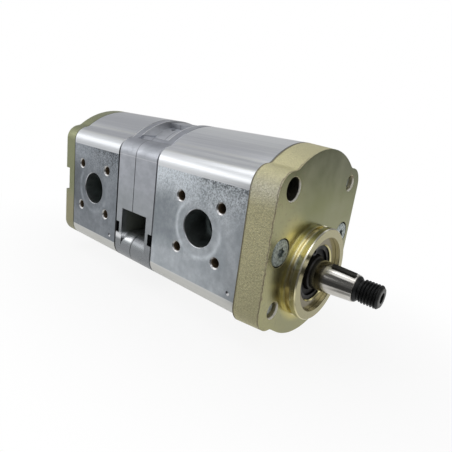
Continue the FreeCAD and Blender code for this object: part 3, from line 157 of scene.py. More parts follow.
# The studio, as the metals mirror it.
FLOOR_GLOW = 0.5
CEILING_SHADE = 0.36
CARD_SHADE = 0.92
CARD_SLOPE = 0.7
WINDOW_GLOW = 3.3
FAR_GLOW = 3.8
ROOM_STOPS = (
    (0.0, (0.14, 0.14, 0.14)), (0.16, (0.24, 0.24, 0.24)), (0.38, (0.56, 0.56, 0.56)),
    (0.50, (0.56, 0.56, 0.56)), (0.60, (0.48, 0.48, 0.50)), (0.72, (0.46, 0.46, 0.48)),
    (0.84, (0.95, 0.95, 0.95)), (1.0, (1.05, 1.05, 1.05)))

# The lamps: name, place, target and size in metres, and the setting that holds the power.
LAMPS = (
    ("overhead_softbox", (-0.10, 0.10, 0.60), (0.0, 0.08, 0.02), (0.50, 0.60), "key_power"),
    ("strip_softbox", (-0.52, 0.52, 0.26), (0.0, 0.08, 0.03), (0.80, 0.20), "strip_power"),
    ("nose_softbox", (-0.12, 0.19, 0.39), (0.0, -0.02, 0.0), (0.14, 0.26), "nose_power"),
    ("front_softbox", (-0.04, -0.50, 0.36), (0.0, 0.0, 0.0), (0.40, 0.12), "front_power"),
)

# The camera: its place in millimetres, and its right, up and backward axes.
CAMERA_PLACE = (-184.57, -88.36, 74.29)
CAMERA_AXES = ((0.64808, -0.75074, 0.12802), (0.12695, 0.27224, 0.95382), (-0.75092, -0.6019, 0.27174))
FLOOR_RADIUS = 6.0
FLOOR_GAP = 0.0004


# Shader nodes

class Signal:
    """An output socket that can be used in sums. A number stands for itself."""

    def __init__(self, tree, socket):
        self.tree = tree
        self.socket = socket

    def _maths(self, operation, first, second=None):
        inputs = {0: first} if second is None else {0: first, 1: second}
        return self.tree.node("ShaderNodeMath", {"operation": operation}, inputs)

    def _combine(self, operation, first, second):
        vector = any(isinstance(item, Signal) and item.socket.type == "VECTOR" for item in (first, second))
        if vector:
            first, second = ((item, item, item) if isinstance(item, (int, float)) else item
                             for item in (first, second))
            return self.tree.node("ShaderNodeVectorMath", {"operation": operation}, {0: first, 1: second})
        return self._maths(operation, first, second)

    def __add__(self, other):
        return self._combine("ADD", self, other)

    def __radd__(self, other):
        return self._combine("ADD", other, self)

    def __sub__(self, other):
        return self._combine("SUBTRACT", self, other)

    def __rsub__(self, other):
        return self._combine("SUBTRACT", other, self)

    def __mul__(self, other):
        return self._combine("MULTIPLY", self, other)

    def __abs__(self):
        return self._maths("ABSOLUTE", self)

    def over(self, edge, soft):
        """0 below the edge and 1 above it, with a soft step between."""
        return self.tree.node("ShaderNodeMapRange", {"interpolation_type": "SMOOTHSTEP"},
                              {"Value": self, "From Min": edge - soft, "From Max": edge + soft})

    def under(self, edge, soft):
        return 1 - self.over(edge, soft)

    def near(self, place, width, soft):
        """1 within a width on each side of a place."""
        return abs(self - place).under(width, soft)

    def sign(self):
        return self._maths("SIGN", self)

    def root(self):
        return self._maths("SQRT", self)

    def most(self, other):
        return self._maths("MAXIMUM", self, other)


class Tree:
    """The nodes of one material or of the world."""

    def __init__(self, nodes, links):
        self.nodes = nodes
        self.links = links

    def node(self, kind, settings=None, inputs=None, output=None):
        """A new node. Its settings go first, then the values or links of its sockets."""
        made = self.nodes.new(kind)
        for name, value in (settings or {}).items():
            if name == "stops":
                self._stops(made.color_ramp, value)
            else:
                setattr(made, name, value)
        for name, value in (inputs or {}).items():
            if isinstance(value, Signal):
                self.links.new(value.socket, made.inputs[name])
            else:
                made.inputs[name].default_value = value
        if output is None:
            output = next((number for number, socket in enumerate(made.outputs) if socket.enabled), None)
        return None if output is None else Signal(self, made.outputs[output])

    @staticmethod
    def _stops(ramp, stops):
        for number, (place, colour) in enumerate(stops):
            stop = ramp.elements[number] if number < 2 else ramp.elements.new(place)
            stop.position = place
            stop.color = (*colour, 1.0)

    def place(self):
        """The point on the surface in millimetres: (x, y, z) and the three apart."""
        point = self.node("ShaderNodeTexCoord", output="Object") * (1 / MM)
        parts = self.node("ShaderNodeSeparateXYZ", inputs={0: point})
        apart = [Signal(self, socket) for socket in parts.socket.node.outputs]
        return point, *apart

    def noise(self, point, scale, detail=3.0, roughness=0.55, stretch=(1.0, 1.0, 1.0)):
        """A soft noise from 0 to 1. The scale is in features to the millimetre."""
        if stretch != (1.0, 1.0, 1.0):
            point = point * self.vector(stretch)
        return self.node("ShaderNodeTexNoise", inputs={
            "Vector": point, "Scale": scale, "Detail": detail, "Roughness": roughness})

    def vector(self, parts):
        return self.node("ShaderNodeCombineXYZ", inputs=dict(enumerate(parts)))

    def spread(self, value, low, high):
        """Stretch a noise between two of its values to the whole range from 0 to 1."""
        return self.node("ShaderNodeMapRange", inputs={"Value": value, "From Min": low, "From Max": high})

    def between(self, factor, first, second):
        """A mix of two colours, each a colour or a signal."""
        first, second = ((*item, 1.0) if isinstance(item, tuple) else item for item in (first, second))
        return self.node("ShaderNodeMix", {"data_type": "RGBA"},
                         {"Factor": factor, 6: first, 7: second}, output=2)

    def layered(self, base, *layers):
        """A base colour under layers of (mask, colour), each laid over what is there."""
        for mask, colour in layers:
            base = self.between(mask, base, colour)
        return base

    def bump(self, height, strength, distance):
        return self.node("ShaderNodeBump", inputs={
            "Height": height, "Strength": strength, "Distance": distance * MM})

    def finish(self, **sockets):
        """The surface shader, with its sockets named in words joined by underscores."""
        inputs = {name.replace("_", " ").title().replace("Ior", "IOR"): value
                  for name, value in sockets.items()}
        for name, value in inputs.items():
            if isinstance(value, tuple):
                inputs[name] = (*value, 1.0)
        surface = self.node("ShaderNodeBsdfPrincipled", inputs=inputs)
        self.node("ShaderNodeOutputMaterial", inputs={"Surface": surface})


def new_material(name):
    material = bpy.data.materials.new(name)
    material.use_nodes = True
    material.node_tree.nodes.clear()
    return material, Tree(material.node_tree.nodes, material.node_tree.links)


def apart_from(first, second, middle):
    """The distance from a line that crosses the plane of two coordinates at a point."""
    across = first - middle[0]
    up = second - middle[1]
    return (across * across + up * up).root()


def any_of(masks):
    total = masks[0]
    for mask in masks[1:]:
        total = total.most(mask)
    return total


# Materials

def scaled_colour(colour, factor):
    return tuple(part * factor for part in colour)


def cast_skin(tree, point, z, colour):
    """The grain of a casting with a yellow passivation: its colour and its height. The grain is fainter on
    the hump. A painted highlight lies along the upper corners, and painted shade darkens the sides towards
    the bottom."""
    cloud = tree.spread(tree.noise(point, 0.035, 3.0), 0.35, 0.65)
    grain = tree.spread(tree.noise(point, 1.15, 4.0, 0.7), 0.34, 0.66)
    speckle = tree.spread(tree.noise(point, 2.2, 2.0, 0.6), 0.40, 0.62)
    off_hump = 1 - z.over(HUMP_START, 4.0) * 0.6
    corner = z.near(COVER_CORNER, 4.0, 6.0)
    base = tree.layered(
        scaled_colour(colour, 1.3),
        (grain * 0.65 * off_hump, scaled_colour(colour, 0.64)),
        (speckle * 0.45 * off_hump, scaled_colour(colour, 0.52)),
        # A painted highlight along the upper corners, then painted shade towards the bottom.
        (corner * (1 - grain * 0.7) * 0.9, GLEAM),
        (z.under(0.0, 16.0) * 0.4, scaled_colour(colour, 0.7)),
        (cloud * 0.3, scaled_colour(colour, 0.8)))
    return base, grain


def machined_face(tree, x, z, from_axis, cloud, stain):
    """The colour of the cover's front face, with its stains: painted reflections make it dark at the top and
    lighter low down and on the left, with a painted pool of light round the spigot and a painted shade beside
    it.
    """
    # A painted pool of light round the spigot, and a painted shade to its left.
    glow = apart_from(x, z, (-23.0, 20.5)).under(8.0, 8.0)
    glow = glow.most(from_axis.under(27.5, 2.5) * z.under(6.0, 8.0))
    shade = apart_from(x, z, (-29.5, -5.5)).under(3.0, 5.5)
    return tree.layered(
        FACE_LOW,
        (z.over(14.0, 22.0), FACE_MIDDLE),
        (x.under(-26.0, 12.0) * 0.62, FACE_LEFT),
        (z.over(46.0, 14.0), FACE_HIGH),
        (cloud * 0.4, stain),
        (glow * (0.45 + cloud * 0.3), FACE_POOL_OF_LIGHT),
        (shade * 0.8, FACE_SHADE))


def turned_spigot(tree, y, z, from_axis, cloud):
    """The colour of the spigot: painted highlights on its rims, its bevel, a line in the groove and lines in
    the recess, brighter on top, a painted reflection that lightens the recess wall, and painted shade in the
    groove and on the recess floor.
    """
    high = z.over(2.0, 9.0)
    rim = any_of([y.near(-1.3, 0.35, 0.12), y.near(-4.4, 0.25, 0.12)]) * from_axis.over(SPIGOT_EDGE, 0.1)
    groove = y.near(GROOVE, 1.25, 0.1) * from_axis.over(GROOVE_FLOOR, 0.3) * from_axis.under(SPIGOT_EDGE, 0.2)
    bevel = y.under(SPIGOT_BEVEL, 0.06) * y.over(SPIGOT_FRONT, 0.04) * from_axis.over(23.5, 0.1)
    recess = from_axis.under(RECESS_RADIUS, 0.2)
    recess_floor = recess * y.near(RECESS_FLOOR, 0.15, 0.05)
    recess_wall = recess * y.near(RECESS_WALL, 1.0, 0.1)
    lines = any_of([y.near(-6.7, 0.16, 0.12), y.near(-5.7, 0.12, 0.10)]) * recess
    # Painted highlights on the rims, the bevel, the groove and the recess lines, painted shade in the groove
    # and on the recess floor, and a painted reflection on the recess wall.
    return tree.layered(
        TURNED_LIGHT,
        (cloud * 0.5, TURNED_DARK),
        (groove * 0.5, (0.34, 0.25, 0.12)),
        (groove * y.near(GROOVE + 0.5, 0.5, 0.2) * high, (1.0, 0.99, 0.90)),
        (rim * (0.25 + high * 0.75), GLEAM),
        (bevel * (0.15 + high * 0.7), (1.0, 0.98, 0.88)),
        (y.under(SPIGOT_FRONT, 0.05) * 0.85, TURNED_FRONT),
        (recess_floor * 0.9, (0.20, 0.175, 0.13)),
        (recess_wall * 0.8, (0.95, 0.88, 0.50)),
        (lines * 0.8, (1.0, 0.98, 0.85)))


def front_cover_metal(colour, stain):
    """The front casting: cast sides, and a smooth stained face with a turned spigot, painted shade in its
    holes, screw seats and seal bore, and painted highlights on the lower right of the hole mouths.
    """
    material, tree = new_material("front_cover_metal")
    point, x, y, z = tree.place()
    from_axis = apart_from(x, z, (0.0, 0.0))
    cloud = tree.spread(tree.noise(point, 0.04, 3.0), 0.35, 0.65)
    machined = y.under(0.05, 0.04)
    spigot = y.under(-0.05, 0.04)
    cast, grain = cast_skin(tree, point, z, colour)
    face = machined_face(tree, x, z, from_axis, cloud, stain)
    turned = turned_spigot(tree, y, z, from_axis, cloud)

    ragged = y + tree.noise(point, 0.5, 3.0) * 1.6
    edge = ragged.near(1.35, 0.28, 0.25) * abs(x).over(20.0, 10.0)
    seats = [apart_from(x, z, place).under(7.42, 0.06) for place in SHORT_SCREWS]
    holes = [apart_from(x, z, place).under(5.62, 0.05) for place in MOUNT_HOLES]
    tapped = [apart_from(x, z, place).under(4.35, 0.05) for place in LONG_SCREWS]
    bore = from_axis.under(SEAL_BORE_RADIUS, 0.05) * y.over(-4.3, 0.2)
    sunk = any_of(seats + holes) * y.over(0.42, 0.15)
    # Painted highlights on the lower right of the mouths of the mounting and tapped holes.
    mouths = any_of([apart_from(x, z, place).under(6.3, 0.05) * (x - z - place[0] + place[1]).over(1.5, 2.5)
                     for place in MOUNT_HOLES + LONG_SCREWS])
    mouths = mouths * y.over(0.02, 0.02) * y.under(0.85, 0.1)
    base = tree.layered(
        cast,
        (machined, tree.between(spigot, face, turned)),
        (edge * 0.7, (0.24, 0.16, 0.12)),
        # Painted shade in the holes, the screw seats and the seal bore, and a brown painted shade down the
        # tapped holes.
        (sunk.most(bore) * 0.93, HOLE_SHADE),
        (any_of(tapped) * y.over(0.9, 0.4) * 0.4, (0.30, 0.25, 0.14)),
        (y.over(COVER_FACE - 0.7, 0.5) * 0.75, (0.06, 0.04, 0.03)),
        (mouths, (1.0, 0.97, 0.86)))
    height = grain * (1 - machined) * (1 - z.over(HUMP_START, 4.0) * 0.5)
    tree.finish(base_color=base, metallic=0.82 + machined * 0.1 - mouths * 0.6,
                roughness=0.37 - machined * 0.11 - spigot * 0.06 + grain * (1 - machined) * 0.08,
                normal=tree.bump(height, 0.7, 0.45))
    return material


def rear_cover_metal(colour):
    """The rear casting, smoother than the front one and shot-blasted, with painted light on the hump and
    painted shade in the screw seats.
    """
    material, tree = new_material("rear_cover_metal")
    point, x, y, z = tree.place()
    cloud = tree.spread(tree.noise(point, 0.05, 3.0), 0.35, 0.65)
    grain = tree.noise(point, 1.1, 3.0, 0.6)
    seats = any_of([apart_from(x, z, place).near(7.6, 0.4, 0.1) for place in SHORT_SCREWS])
    sunk = seats * y.over(REAR_END + 6.4, 0.1) * y.under(REAR_END + 11.0, 0.1)
    base = tree.layered(
        colour,
        (cloud * 0.5, scaled_colour(colour, 0.82)),
        # Painted light on the hump.
        (z.over(HUMP_START, 6.0) * 0.6, scaled_colour(colour, 1.4)),
        (z.near(-8.0, 14.0, 8.0) * 0.3, (0.50, 0.40, 0.28)),
        (y.under(REAR_END + 0.3, 0.2) * 0.5, scaled_colour(colour, 0.45)),
        # Painted shade in the screw seats.
        (sunk * 0.5, scaled_colour(colour, 0.3)))
    tree.finish(base_color=base, metallic=0.85, roughness=0.38 + cloud * 0.06,
                normal=tree.bump(grain, 0.45, 0.3))
    return material


def joint_gaps(y, z, joints):
    """A mask for each joint line of (place, width, depth). The joint behind the front body
    shows only at the bottom, and all are fainter on top."""
    for place, width, depth in joints:
        gap = y.near(place, width, 0.12) * depth * (1 - z.over(46.0, 3.0) * 0.55)
        yield gap * z.under(-8.0, 3.0) if place == BODY_END else gap


def milled_flat(tree, point, y, z, port, pressure_side, colours):
    """The colour of a milled flat: cloudy and flecked, with a ring where a flange sat, stronger flecks and
    painted light on its upper part, and a painted highlight above and behind the port. Also its mottle, and
    the mask of that painted highlight."""
    light, dark = colours
    cloud = tree.spread(tree.noise(point, 0.06, 4.0, 0.62), 0.38, 0.62)
    mottle = tree.spread(tree.noise(point, 0.30, 5.0, 0.7), 0.36, 0.64)
    fleck = tree.spread(tree.noise(point, 1.1, 3.0, 0.75), 0.40, 0.60)
    worn = tree.spread(tree.noise(point, 0.11, 4.0), 0.42, 0.58)
    # Stronger flecks and painted light on the upper part of the flat.
    upper_fleck_and_sheen = z.over(27.0, 10.0) * (0.30 + y.under(port[0] + 4.0, 20.0) * 0.50)
    behind = y.over(port[0] + 3.0, 9.0)
    # A painted highlight above and behind the port.
    pale = z.over(31.0, 8.0) * behind * (1 - fleck * 0.55)
    rearward = (y - port[0]).over(12.0, 14.0) * z.near(15.0, 14.0, 8.0)
    forward = (port[0] - y).over(12.0, 10.0) * z.near(18.0, 14.0, 8.0)
    apart = apart_from(y, z, port)
    aside = (y - port[0]).over(9.0, 4.0).most((port[0] + port[1] - y - z).over(13.0, 5.0))
    ring = (apart + pressure_side * PRESSURE_RING_STEP).near(FLANGE_RING_RADIUS, 1.0, 1.3)
    ring = ring * (0.10 + worn * 0.25 + aside * (0.25 + worn * 0.4))
    flat = tree.layered(
        light,
        (cloud, dark),
        (mottle * 0.5, scaled_colour(dark, 0.8)),
        (fleck * (0.15 + upper_fleck_and_sheen * 0.6), scaled_colour(dark, 0.5)),
        ((1 - fleck) * upper_fleck_and_sheen * 0.75, scaled_colour(light, 1.4)),
        (z.over(39.8, 1.6) * fleck * (1 - behind * 0.8) * 0.8, scaled_colour(dark, 0.3)),
        (pale * 0.8, scaled_colour(light, 1.5)),
        (z.under(4.0, 12.0) * 0.55, scaled_colour(light, 0.86)),
        (rearward * 0.75, scaled_colour(dark, 0.7)),
        (forward * 0.3, scaled_colour(light, 1.2)),
        (apart.under(13.4, 1.2) * 0.3, scaled_colour(light, 0.8)),
        (ring * 0.6, scaled_colour(light, 1.4)))
    return flat, mottle, pale


def body_metal(name, port, mark_place, joints, flat_colours):
    """Extruded aluminium: satin and drawn along the shaft, with painted highlight streaks near the top and
    painted shade on the rear body and along the lower corner, milled flats, painted shade in the holes with
    painted highlights on the lower side of their mouths, a punched mark on the suction side with painted
    shade in its dimple and a painted glint, and dark joints."""
    material, tree = new_material(name)
    point, x, y, z = tree.place()
    pressure_side = x.over(0.0, 1.0)
    on_flat = abs(x).over(BODY_SIDE - 0.10, 0.05) * abs(z - FLAT_MIDDLE).under(FLAT_HALF, 0.15)
    drawn = tree.noise(point, 0.8, 4.0, 0.6, (1.0, 0.02, 1.0))
    # Painted highlight streaks at two heights near the top.
    sheen_streaks = any_of([z.near(place, 0.5, 0.5) for place in (50.6, 54.4)]) * tree.spread(drawn, 0.3, 0.6)
    satin = tree.layered(
        SATIN_LIGHT,
        (tree.spread(drawn, 0.35, 0.65) * 0.45, SATIN_DARK),
        # Painted shade on the rear body and along the lower corner.
        (y.over(100.0, 10.0) * 0.4, SATIN_REAR),
        (z.under(-14.0, 2.0) * 0.8, SATIN_LOW),
        (sheen_streaks * 0.35, (0.84, 0.84, 0.74)))
    flat, mottle, pale = milled_flat(tree, point, y, z, port, pressure_side, flat_colours)

    behind, above = y - port[0], z - port[1]
    square = pressure_side * (PRESSURE_SQUARE - SUCTION_SQUARE) + SUCTION_SQUARE
    along = (abs(behind) - square) * behind.sign()
    up = (abs(above) - square) * above.sign()
    screw = apart_from(abs(behind), abs(above), (square, square))
    # Painted shade in the port bores and the tapped holes, lighter on one side of each tapped hole, and
    # painted highlights on the lower side of their mouths with painted shade above.
    bore = apart_from(y, z, port).under(PORT_RADIUS, 0.05) * abs(x).under(BODY_SIDE - 0.5, 0.1)
    tapped = screw.under(PORT_HOLE_RADIUS, 0.06) * abs(x).under(BODY_SIDE - 0.6, 0.1)
    mouth_highlight = tree.between(up.under(-0.8, 1.4), (0.50, 0.50, 0.48), (1.0, 1.0, 1.0))
    tapped_shade = tree.between(along.over(-0.2, 1.2), (0.02, 0.015, 0.01), (0.17, 0.125, 0.08))
    # The punched mark: painted shade in its dimple, and a painted glint beside it.
    mark = apart_from(y, z, (mark_place, MARK_HEIGHT)).under(0.85, 0.1) * (1 - pressure_side)
    glint = apart_from(y, z, (mark_place - 0.6, MARK_HEIGHT - 0.7)).under(0.85, 0.15) * (1 - pressure_side)
    base = tree.layered(
        satin,
        (on_flat, flat),
        (bore * 0.8, (0.30, 0.34, 0.33)),
        (screw.under(PORT_MOUTH_RADIUS, 0.08) * 0.85, mouth_highlight),
        (tapped, tapped_shade),
        (mark * 0.8, (0.10, 0.11, 0.12)),
        (glint * 0.95, (1.0, 1.0, 1.0)),
        *((gap, JOINT_LINE_AND_VENT_SHADE) for gap in joint_gaps(y, z, joints)))
    height = drawn * 0.3 * (1 - on_flat) + mottle * on_flat * 0.7
    tree.finish(base_color=base, metallic=0.93 - tapped.most(mark).most(glint) * 0.75,
                roughness=0.32 + on_flat * (0.02 + mottle * 0.14 + pale * 0.14),
                normal=tree.bump(height, 0.4, 0.14))
    return material


def die_cast_metal(name):
    """Die-cast aluminium: smoother and duller than the bodies, with soft flow marks, painted shade towards
    the bottom and in the window, slots and vent, painted highlights on the ridges, the crease and the sill on
    the suction side, and painted light in the hollow on top of the suction side."""
    material, tree = new_material(name)
    point, x, y, z = tree.place()
    cloud = tree.spread(tree.noise(point, 0.07, 3.0, 0.6), 0.36, 0.64)
    flow = tree.spread(tree.noise(point, 0.25, 4.0, 0.65, (1.0, 0.6, 1.0)), 0.36, 0.64)
    # A painted highlight on the sill, bright behind the split and darker in front of it.
    sill = z.near(-7.8, 1.6, 1.4) * x.under(12.0 - BODY_SIDE, 2.0)
    sill_colour = tree.between(y.over(SPLIT + 1.2, 1.2), (0.29, 0.30, 0.32), (0.96, 0.98, 1.0))
    # A painted highlight along the crease.
    crease_highlight = z.near(42.9, 0.25, 0.2) * abs(x).over(BODY_SIDE - 0.6, 0.2)
    # Painted shade in the window, the slots and the vent.
    window = abs(x).under(BODY_SIDE - 2.6, 2.2) * z.near(2.45, 8.0, 0.5)
    slots = abs(x).under(BODY_SIDE - 0.2, 0.1) * z.near(-2.5, 3.6, 0.1)
    slots = slots * any_of([y.near(BODY_END + 1.8, 1.9, 0.1), y.near(REAR_START - 1.8, 1.9, 0.1)])
    vent = apart_from(x, y, VENT).under(1.6, 0.08) * z.over(45.0, 1.0) * z.under(59.0, 0.3)
    # Painted highlights on the ridges, and painted light in the hollow.
    ridge = any_of([y.near(BODY_END + 5.7, 0.35, 0.2), y.near(REAR_START - 5.7, 0.35, 0.2)])
    ridge = ridge * z.over(54.8, 0.4)
    hollow = x.near(-18.0, 9.9, 0.1) * z.over(45.0, 1.0) * y.near((BODY_END + REAR_START) / 2, 11.4, 0.1)
    joints = ((SPLIT, 0.32, 0.9), (BODY_END, 0.55, 0.55), (REAR_START, 0.60, 0.95))
    base = tree.layered(
        CASTING_LIGHT,
        (cloud * 0.7, CASTING_DARK),
        (flow * 0.3, scaled_colour(CASTING_DARK, 0.75)),
        # Painted shade towards the bottom.
        (z.under(22.0, 14.0) * 0.55, CASTING_MIDDLE),
        (z.under(-2.0, 8.0) * 0.8, CASTING_LOW),
        (z.under(-10.5, 3.0) * 0.6, CASTING_FOOT),
        (sill * 0.85, sill_colour),
        (crease_highlight * 0.35, (0.80, 0.80, 0.82)),
        (window * 0.85, (0.15, 0.165, 0.135)),
        (slots * 0.92, (0.022, 0.023, 0.024)),
        (vent * 0.9, JOINT_LINE_AND_VENT_SHADE),
        (ridge * 0.8, (1.0, 1.0, 1.0)),
        (hollow * 0.6, (0.80, 0.82, 0.86)),
        *((gap, JOINT_LINE_AND_VENT_SHADE) for gap in joint_gaps(y, z, joints)))
    tree.finish(base_color=base, metallic=0.9 - window * 0.6,
                roughness=0.34 - z.under(-6.0, 3.0) * 0.14 + flow * 0.08,
                normal=tree.bump(flow + tree.noise(point, 1.2, 3.0) * 0.6, 0.22, 0.2))
    return material


def shaft_metal(name, bright_from):
    """Ground steel, blackened from the shoulder to the tip, with painted shade where it runs into the shaft
    seal. Fine grinding lines run round it."""
    material, tree = new_material(name)
    point, _, y, _ = tree.place()
    black = y.under(bright_from, 0.12)
    hidden = y.over(-6.5, 1.5)
    lines = tree.noise(point, 2.2, 3.0, 0.6, (0.08, 3.0, 0.08))
    smudge = tree.spread(tree.noise(point, 0.16, 3.0), 0.4, 0.65)
    steel = tree.layered(
        STEEL_LIGHT,
        (smudge * 0.5, STEEL_DARK),
        # Painted shade where the shaft runs into the seal.
        (y.over(-9.5, 4.5), (0.012, 0.011, 0.009)))
    oxide = tree.layered(
        (0.012, 0.013, 0.014),
        (smudge * 0.6, (0.028, 0.028, 0.027)),
        (y.under(SHAFT_END + 0.3, 0.1) * 0.75, (0.14, 0.14, 0.13)))
    tree.finish(base_color=tree.between(black, steel, oxide), metallic=1.0 - black * 0.5 - hidden * 0.9,
                roughness=0.12 + black * 0.26 + hidden * 0.3 + smudge * 0.04,
                normal=tree.bump(lines, 0.10, 0.05))
    return material


def plain_metal(name, light, dark, roughness, scale=0.4):
    """A machined or plated metal with a fine mottle."""
    material, tree = new_material(name)
    point = tree.place()[0]
    mottle = tree.spread(tree.noise(point, scale, 4.0, 0.65), 0.36, 0.64)
    grain = tree.noise(point, 2.4, 2.0)
    tree.finish(base_color=tree.between(mottle, light, dark), metallic=1.0,
                roughness=roughness + mottle * 0.12, normal=tree.bump(grain + mottle, 0.3, 0.1))
    return material


def zinc_metal(name, dark_after):
    """Zinc-plated steel with a spangled face. Painted shade darkens it below a place along the shaft, in the
    socket of a head that faces the front."""
    material, tree = new_material(name)
    point, _, y, _ = tree.place()
    mottle = tree.spread(tree.noise(point, 0.75, 4.0, 0.7), 0.38, 0.62)
    # Painted shade in the socket.
    socket = y.over(dark_after, 0.15) * y.under(dark_after + 2.4, 0.3)
    base = tree.layered(ZINC_LIGHT, (mottle, ZINC_DARK), (socket * 0.3, (0.03, 0.035, 0.03)))
    tree.finish(base_color=base, metallic=0.95, roughness=0.28 + mottle * 0.14,
                normal=tree.bump(mottle, 0.5, 0.25))
    return material


def seal_rubber(name):
    """Black rubber with a little dust."""
    material, tree = new_material(name)
    dust = tree.spread(tree.noise(tree.place()[0], 0.7, 4.0, 0.7), 0.45, 0.7)
    tree.finish(base_color=tree.between(dust, (0.006, 0.006, 0.006), (0.016, 0.015, 0.014)),
                metallic=0.0, specular_ior_level=0.25, roughness=0.50 + dust * 0.2,
                normal=tree.bump(dust, 0.25, 0.08))
    return material


def paint(node, material):
    mesh = NODES[node].data
    mesh.materials.clear()
    mesh.materials.append(material)


# Meshes

def new_piece(name, bm, material, body):
    """Make an object of a bmesh that is in metres and in place, and let it ride on a body."""
    bmesh.ops.recalc_face_normals(bm, faces=bm.faces)
    limit = math.radians(SMOOTH_ANGLE)
    for edge in bm.edges:
        edge.smooth = len(edge.link_faces) == 2 and edge.calc_face_angle(math.pi) < limit
    for face in bm.faces:
        face.smooth = True
    mesh = bpy.data.meshes.new(name)
    bm.to_mesh(mesh)
    bm.free()
    mesh.materials.append(material)
    piece = bpy.data.objects.new(name, mesh)
    bpy.context.scene.collection.objects.link(piece)
    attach(piece, body)
    return piece


def turned_solid(bm, profile, steps):
    """Spin a profile of (place, radius) pairs in millimetres about the drive axis."""
    spots = [bm.verts.new((radius * MM, place * MM, 0.0)) for place, radius in profile]
    edges = [bm.edges.new(pair) for pair in zip(spots, spots[1:])]
    bmesh.ops.spin(bm, geom=spots + edges, cent=(0, 0, 0), axis=(0, 1, 0), dvec=(0, 0, 0),
                   angle=2 * math.pi, steps=steps, use_merge=True, use_duplicate=False)


def cut_beyond(bm, place, way):
    """Cut away what lies past a place along the shaft, in the way of +Y or -Y."""
    bmesh.ops.bisect_plane(bm, geom=bm.verts[:] + bm.edges[:] + bm.faces[:], dist=0.0000001,
                           plane_co=(0, place * MM, 0), plane_no=(0, way, 0), clear_outer=True)


def lobed_loop(bm, radius, depth, lobes, count):
    """A round loop whose radius waves, as in a star-shaped socket. It lies in the XY plane."""
    loop = bmesh.ops.create_circle(bm, cap_ends=False, segments=count, radius=radius)["verts"]
    for spot in loop:
        angle = math.atan2(spot.co.y, spot.co.x)
        wave = 1 - depth * (0.5 - 0.5 * math.cos(lobes * angle))
        spot.co.x *= wave
        spot.co.y *= wave
    return loop


def edges_of(loop):
    chosen = set(loop)
    return [edge for edge in {edge for spot in loop for edge in spot.link_edges}
            if edge.verts[0] in chosen and edge.verts[1] in chosen]


def pushed(bm, edges, down, factor=1.0):
    """Extrude a loop of edges, and move the new loop down in millimetres and scale it about
    the Z axis. Returns its edges."""
    made = bmesh.ops.extrude_edge_only(bm, edges=edges)["geom"]
    spots = [item for item in made if isinstance(item, bmesh.types.BMVert)]
    bmesh.ops.translate(bm, verts=spots, vec=(0, 0, -down * MM))
    bmesh.ops.scale(bm, verts=spots, vec=(factor, factor, 1.0))
    return [item for item in made if isinstance(item, bmesh.types.BMEdge)]


def socket_screw(head_radius, head_height, shank_radius, shank_length, socket, edge):
    """A screw along -Z whose head's top lies in the XY plane, with a socket in the head. The
    socket is (radius, wave, lobes, depth) and the edge is the chamfer of the head."""
    radius, wave, lobes, depth = socket
    bm = bmesh.new()
    rim_edges = edges_of(bmesh.ops.create_circle(
        bm, cap_ends=False, segments=SCREW_STEPS, radius=(head_radius - edge) * MM)["verts"])
    mouth_edges = edges_of(lobed_loop(bm, radius * MM, wave, lobes, SCREW_STEPS))
    bmesh.ops.bridge_loops(bm, edges=rim_edges + mouth_edges)
    wall = pushed(bm, mouth_edges, depth)
    bmesh.ops.contextual_create(bm, geom=pushed(bm, wall, SOCKET_CONE, SOCKET_TAPER))
    chamfer = pushed(bm, rim_edges, edge, head_radius / (head_radius - edge))
    side = pushed(bm, chamfer, head_height - edge)
    neck = pushed(bm, side, 0, shank_radius / head_radius)
    shank = pushed(bm, neck, shank_length - head_height - TIP_CHAMFER)
    bmesh.ops.contextual_create(bm, geom=pushed(bm, shank, TIP_CHAMFER, TIP_TAPER))
    return bm


def copy_into(bm, source, matrix):
    """Add the faces of another bmesh, moved by a matrix."""
    mesh = bpy.data.meshes.new("loose")
    source.to_mesh(mesh)
    mesh.transform(matrix)
    bm.from_mesh(mesh)
    bpy.data.meshes.remove(mesh)


def ends_of(node):
    """The front and the rear end of a node along the shaft, in millimetres."""
    low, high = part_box(node)
    return low.y / MM, high.y / MM


def screw_places(node):
    """The middle of each loose screw of a group, from the CAD mesh: (x, z) in millimetres."""
    mesh = NODES[node].data
    left = [spot.co for spot in mesh.vertices if spot.co.x < 0]
    right = [spot.co for spot in mesh.vertices if spot.co.x >= 0]
    places = []
    for side in (left, right):
        across = (min(co.x for co in side) + max(co.x for co in side)) / 2
        up = (min(co.z for co in side) + max(co.z for co in side)) / 2
        places.append((across / MM, up / MM))
    return places


def screw_group(name, node, pattern, faces_front, material, turns):
    """Replace a node of two screws by detailed ones in the same places."""
    front, rear = ends_of(node)
    top = front if faces_front else rear
    lean = Matrix.Rotation(math.radians(90 if faces_front else -90), 4, "X")
    bm = bmesh.new()
    for (across, up), turn in zip(screw_places(node), turns):
        copy_into(bm, pattern, Matrix.Translation(Vector((across, top, up)) * MM) @ lean
                  @ Matrix.Rotation(math.radians(turn), 4, "Z"))
    piece = new_piece(name, bm, material, "housing")
    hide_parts(node)
    pattern.free()


# Settings

class ShaftThreadSettings(bpy.types.PropertyGroup):
    pitch: bpy.props.FloatProperty(
        name="Pitch", description="Distance from one crest to the next, in mm", default=1.5, min=0.5, max=3.0)
    crest_radius: bpy.props.FloatProperty(
        name="Crest radius", description="Radius over the crests, in mm", default=6.0, min=3.0, max=10.0)
    root_radius: bpy.props.FloatProperty(
        name="Root radius", description="Radius at the root, in mm", default=5.1, min=2.0, max=9.0)
    steps: bpy.props.IntProperty(
        name="Steps", description="Faces round one turn", default=40, min=12, max=96)


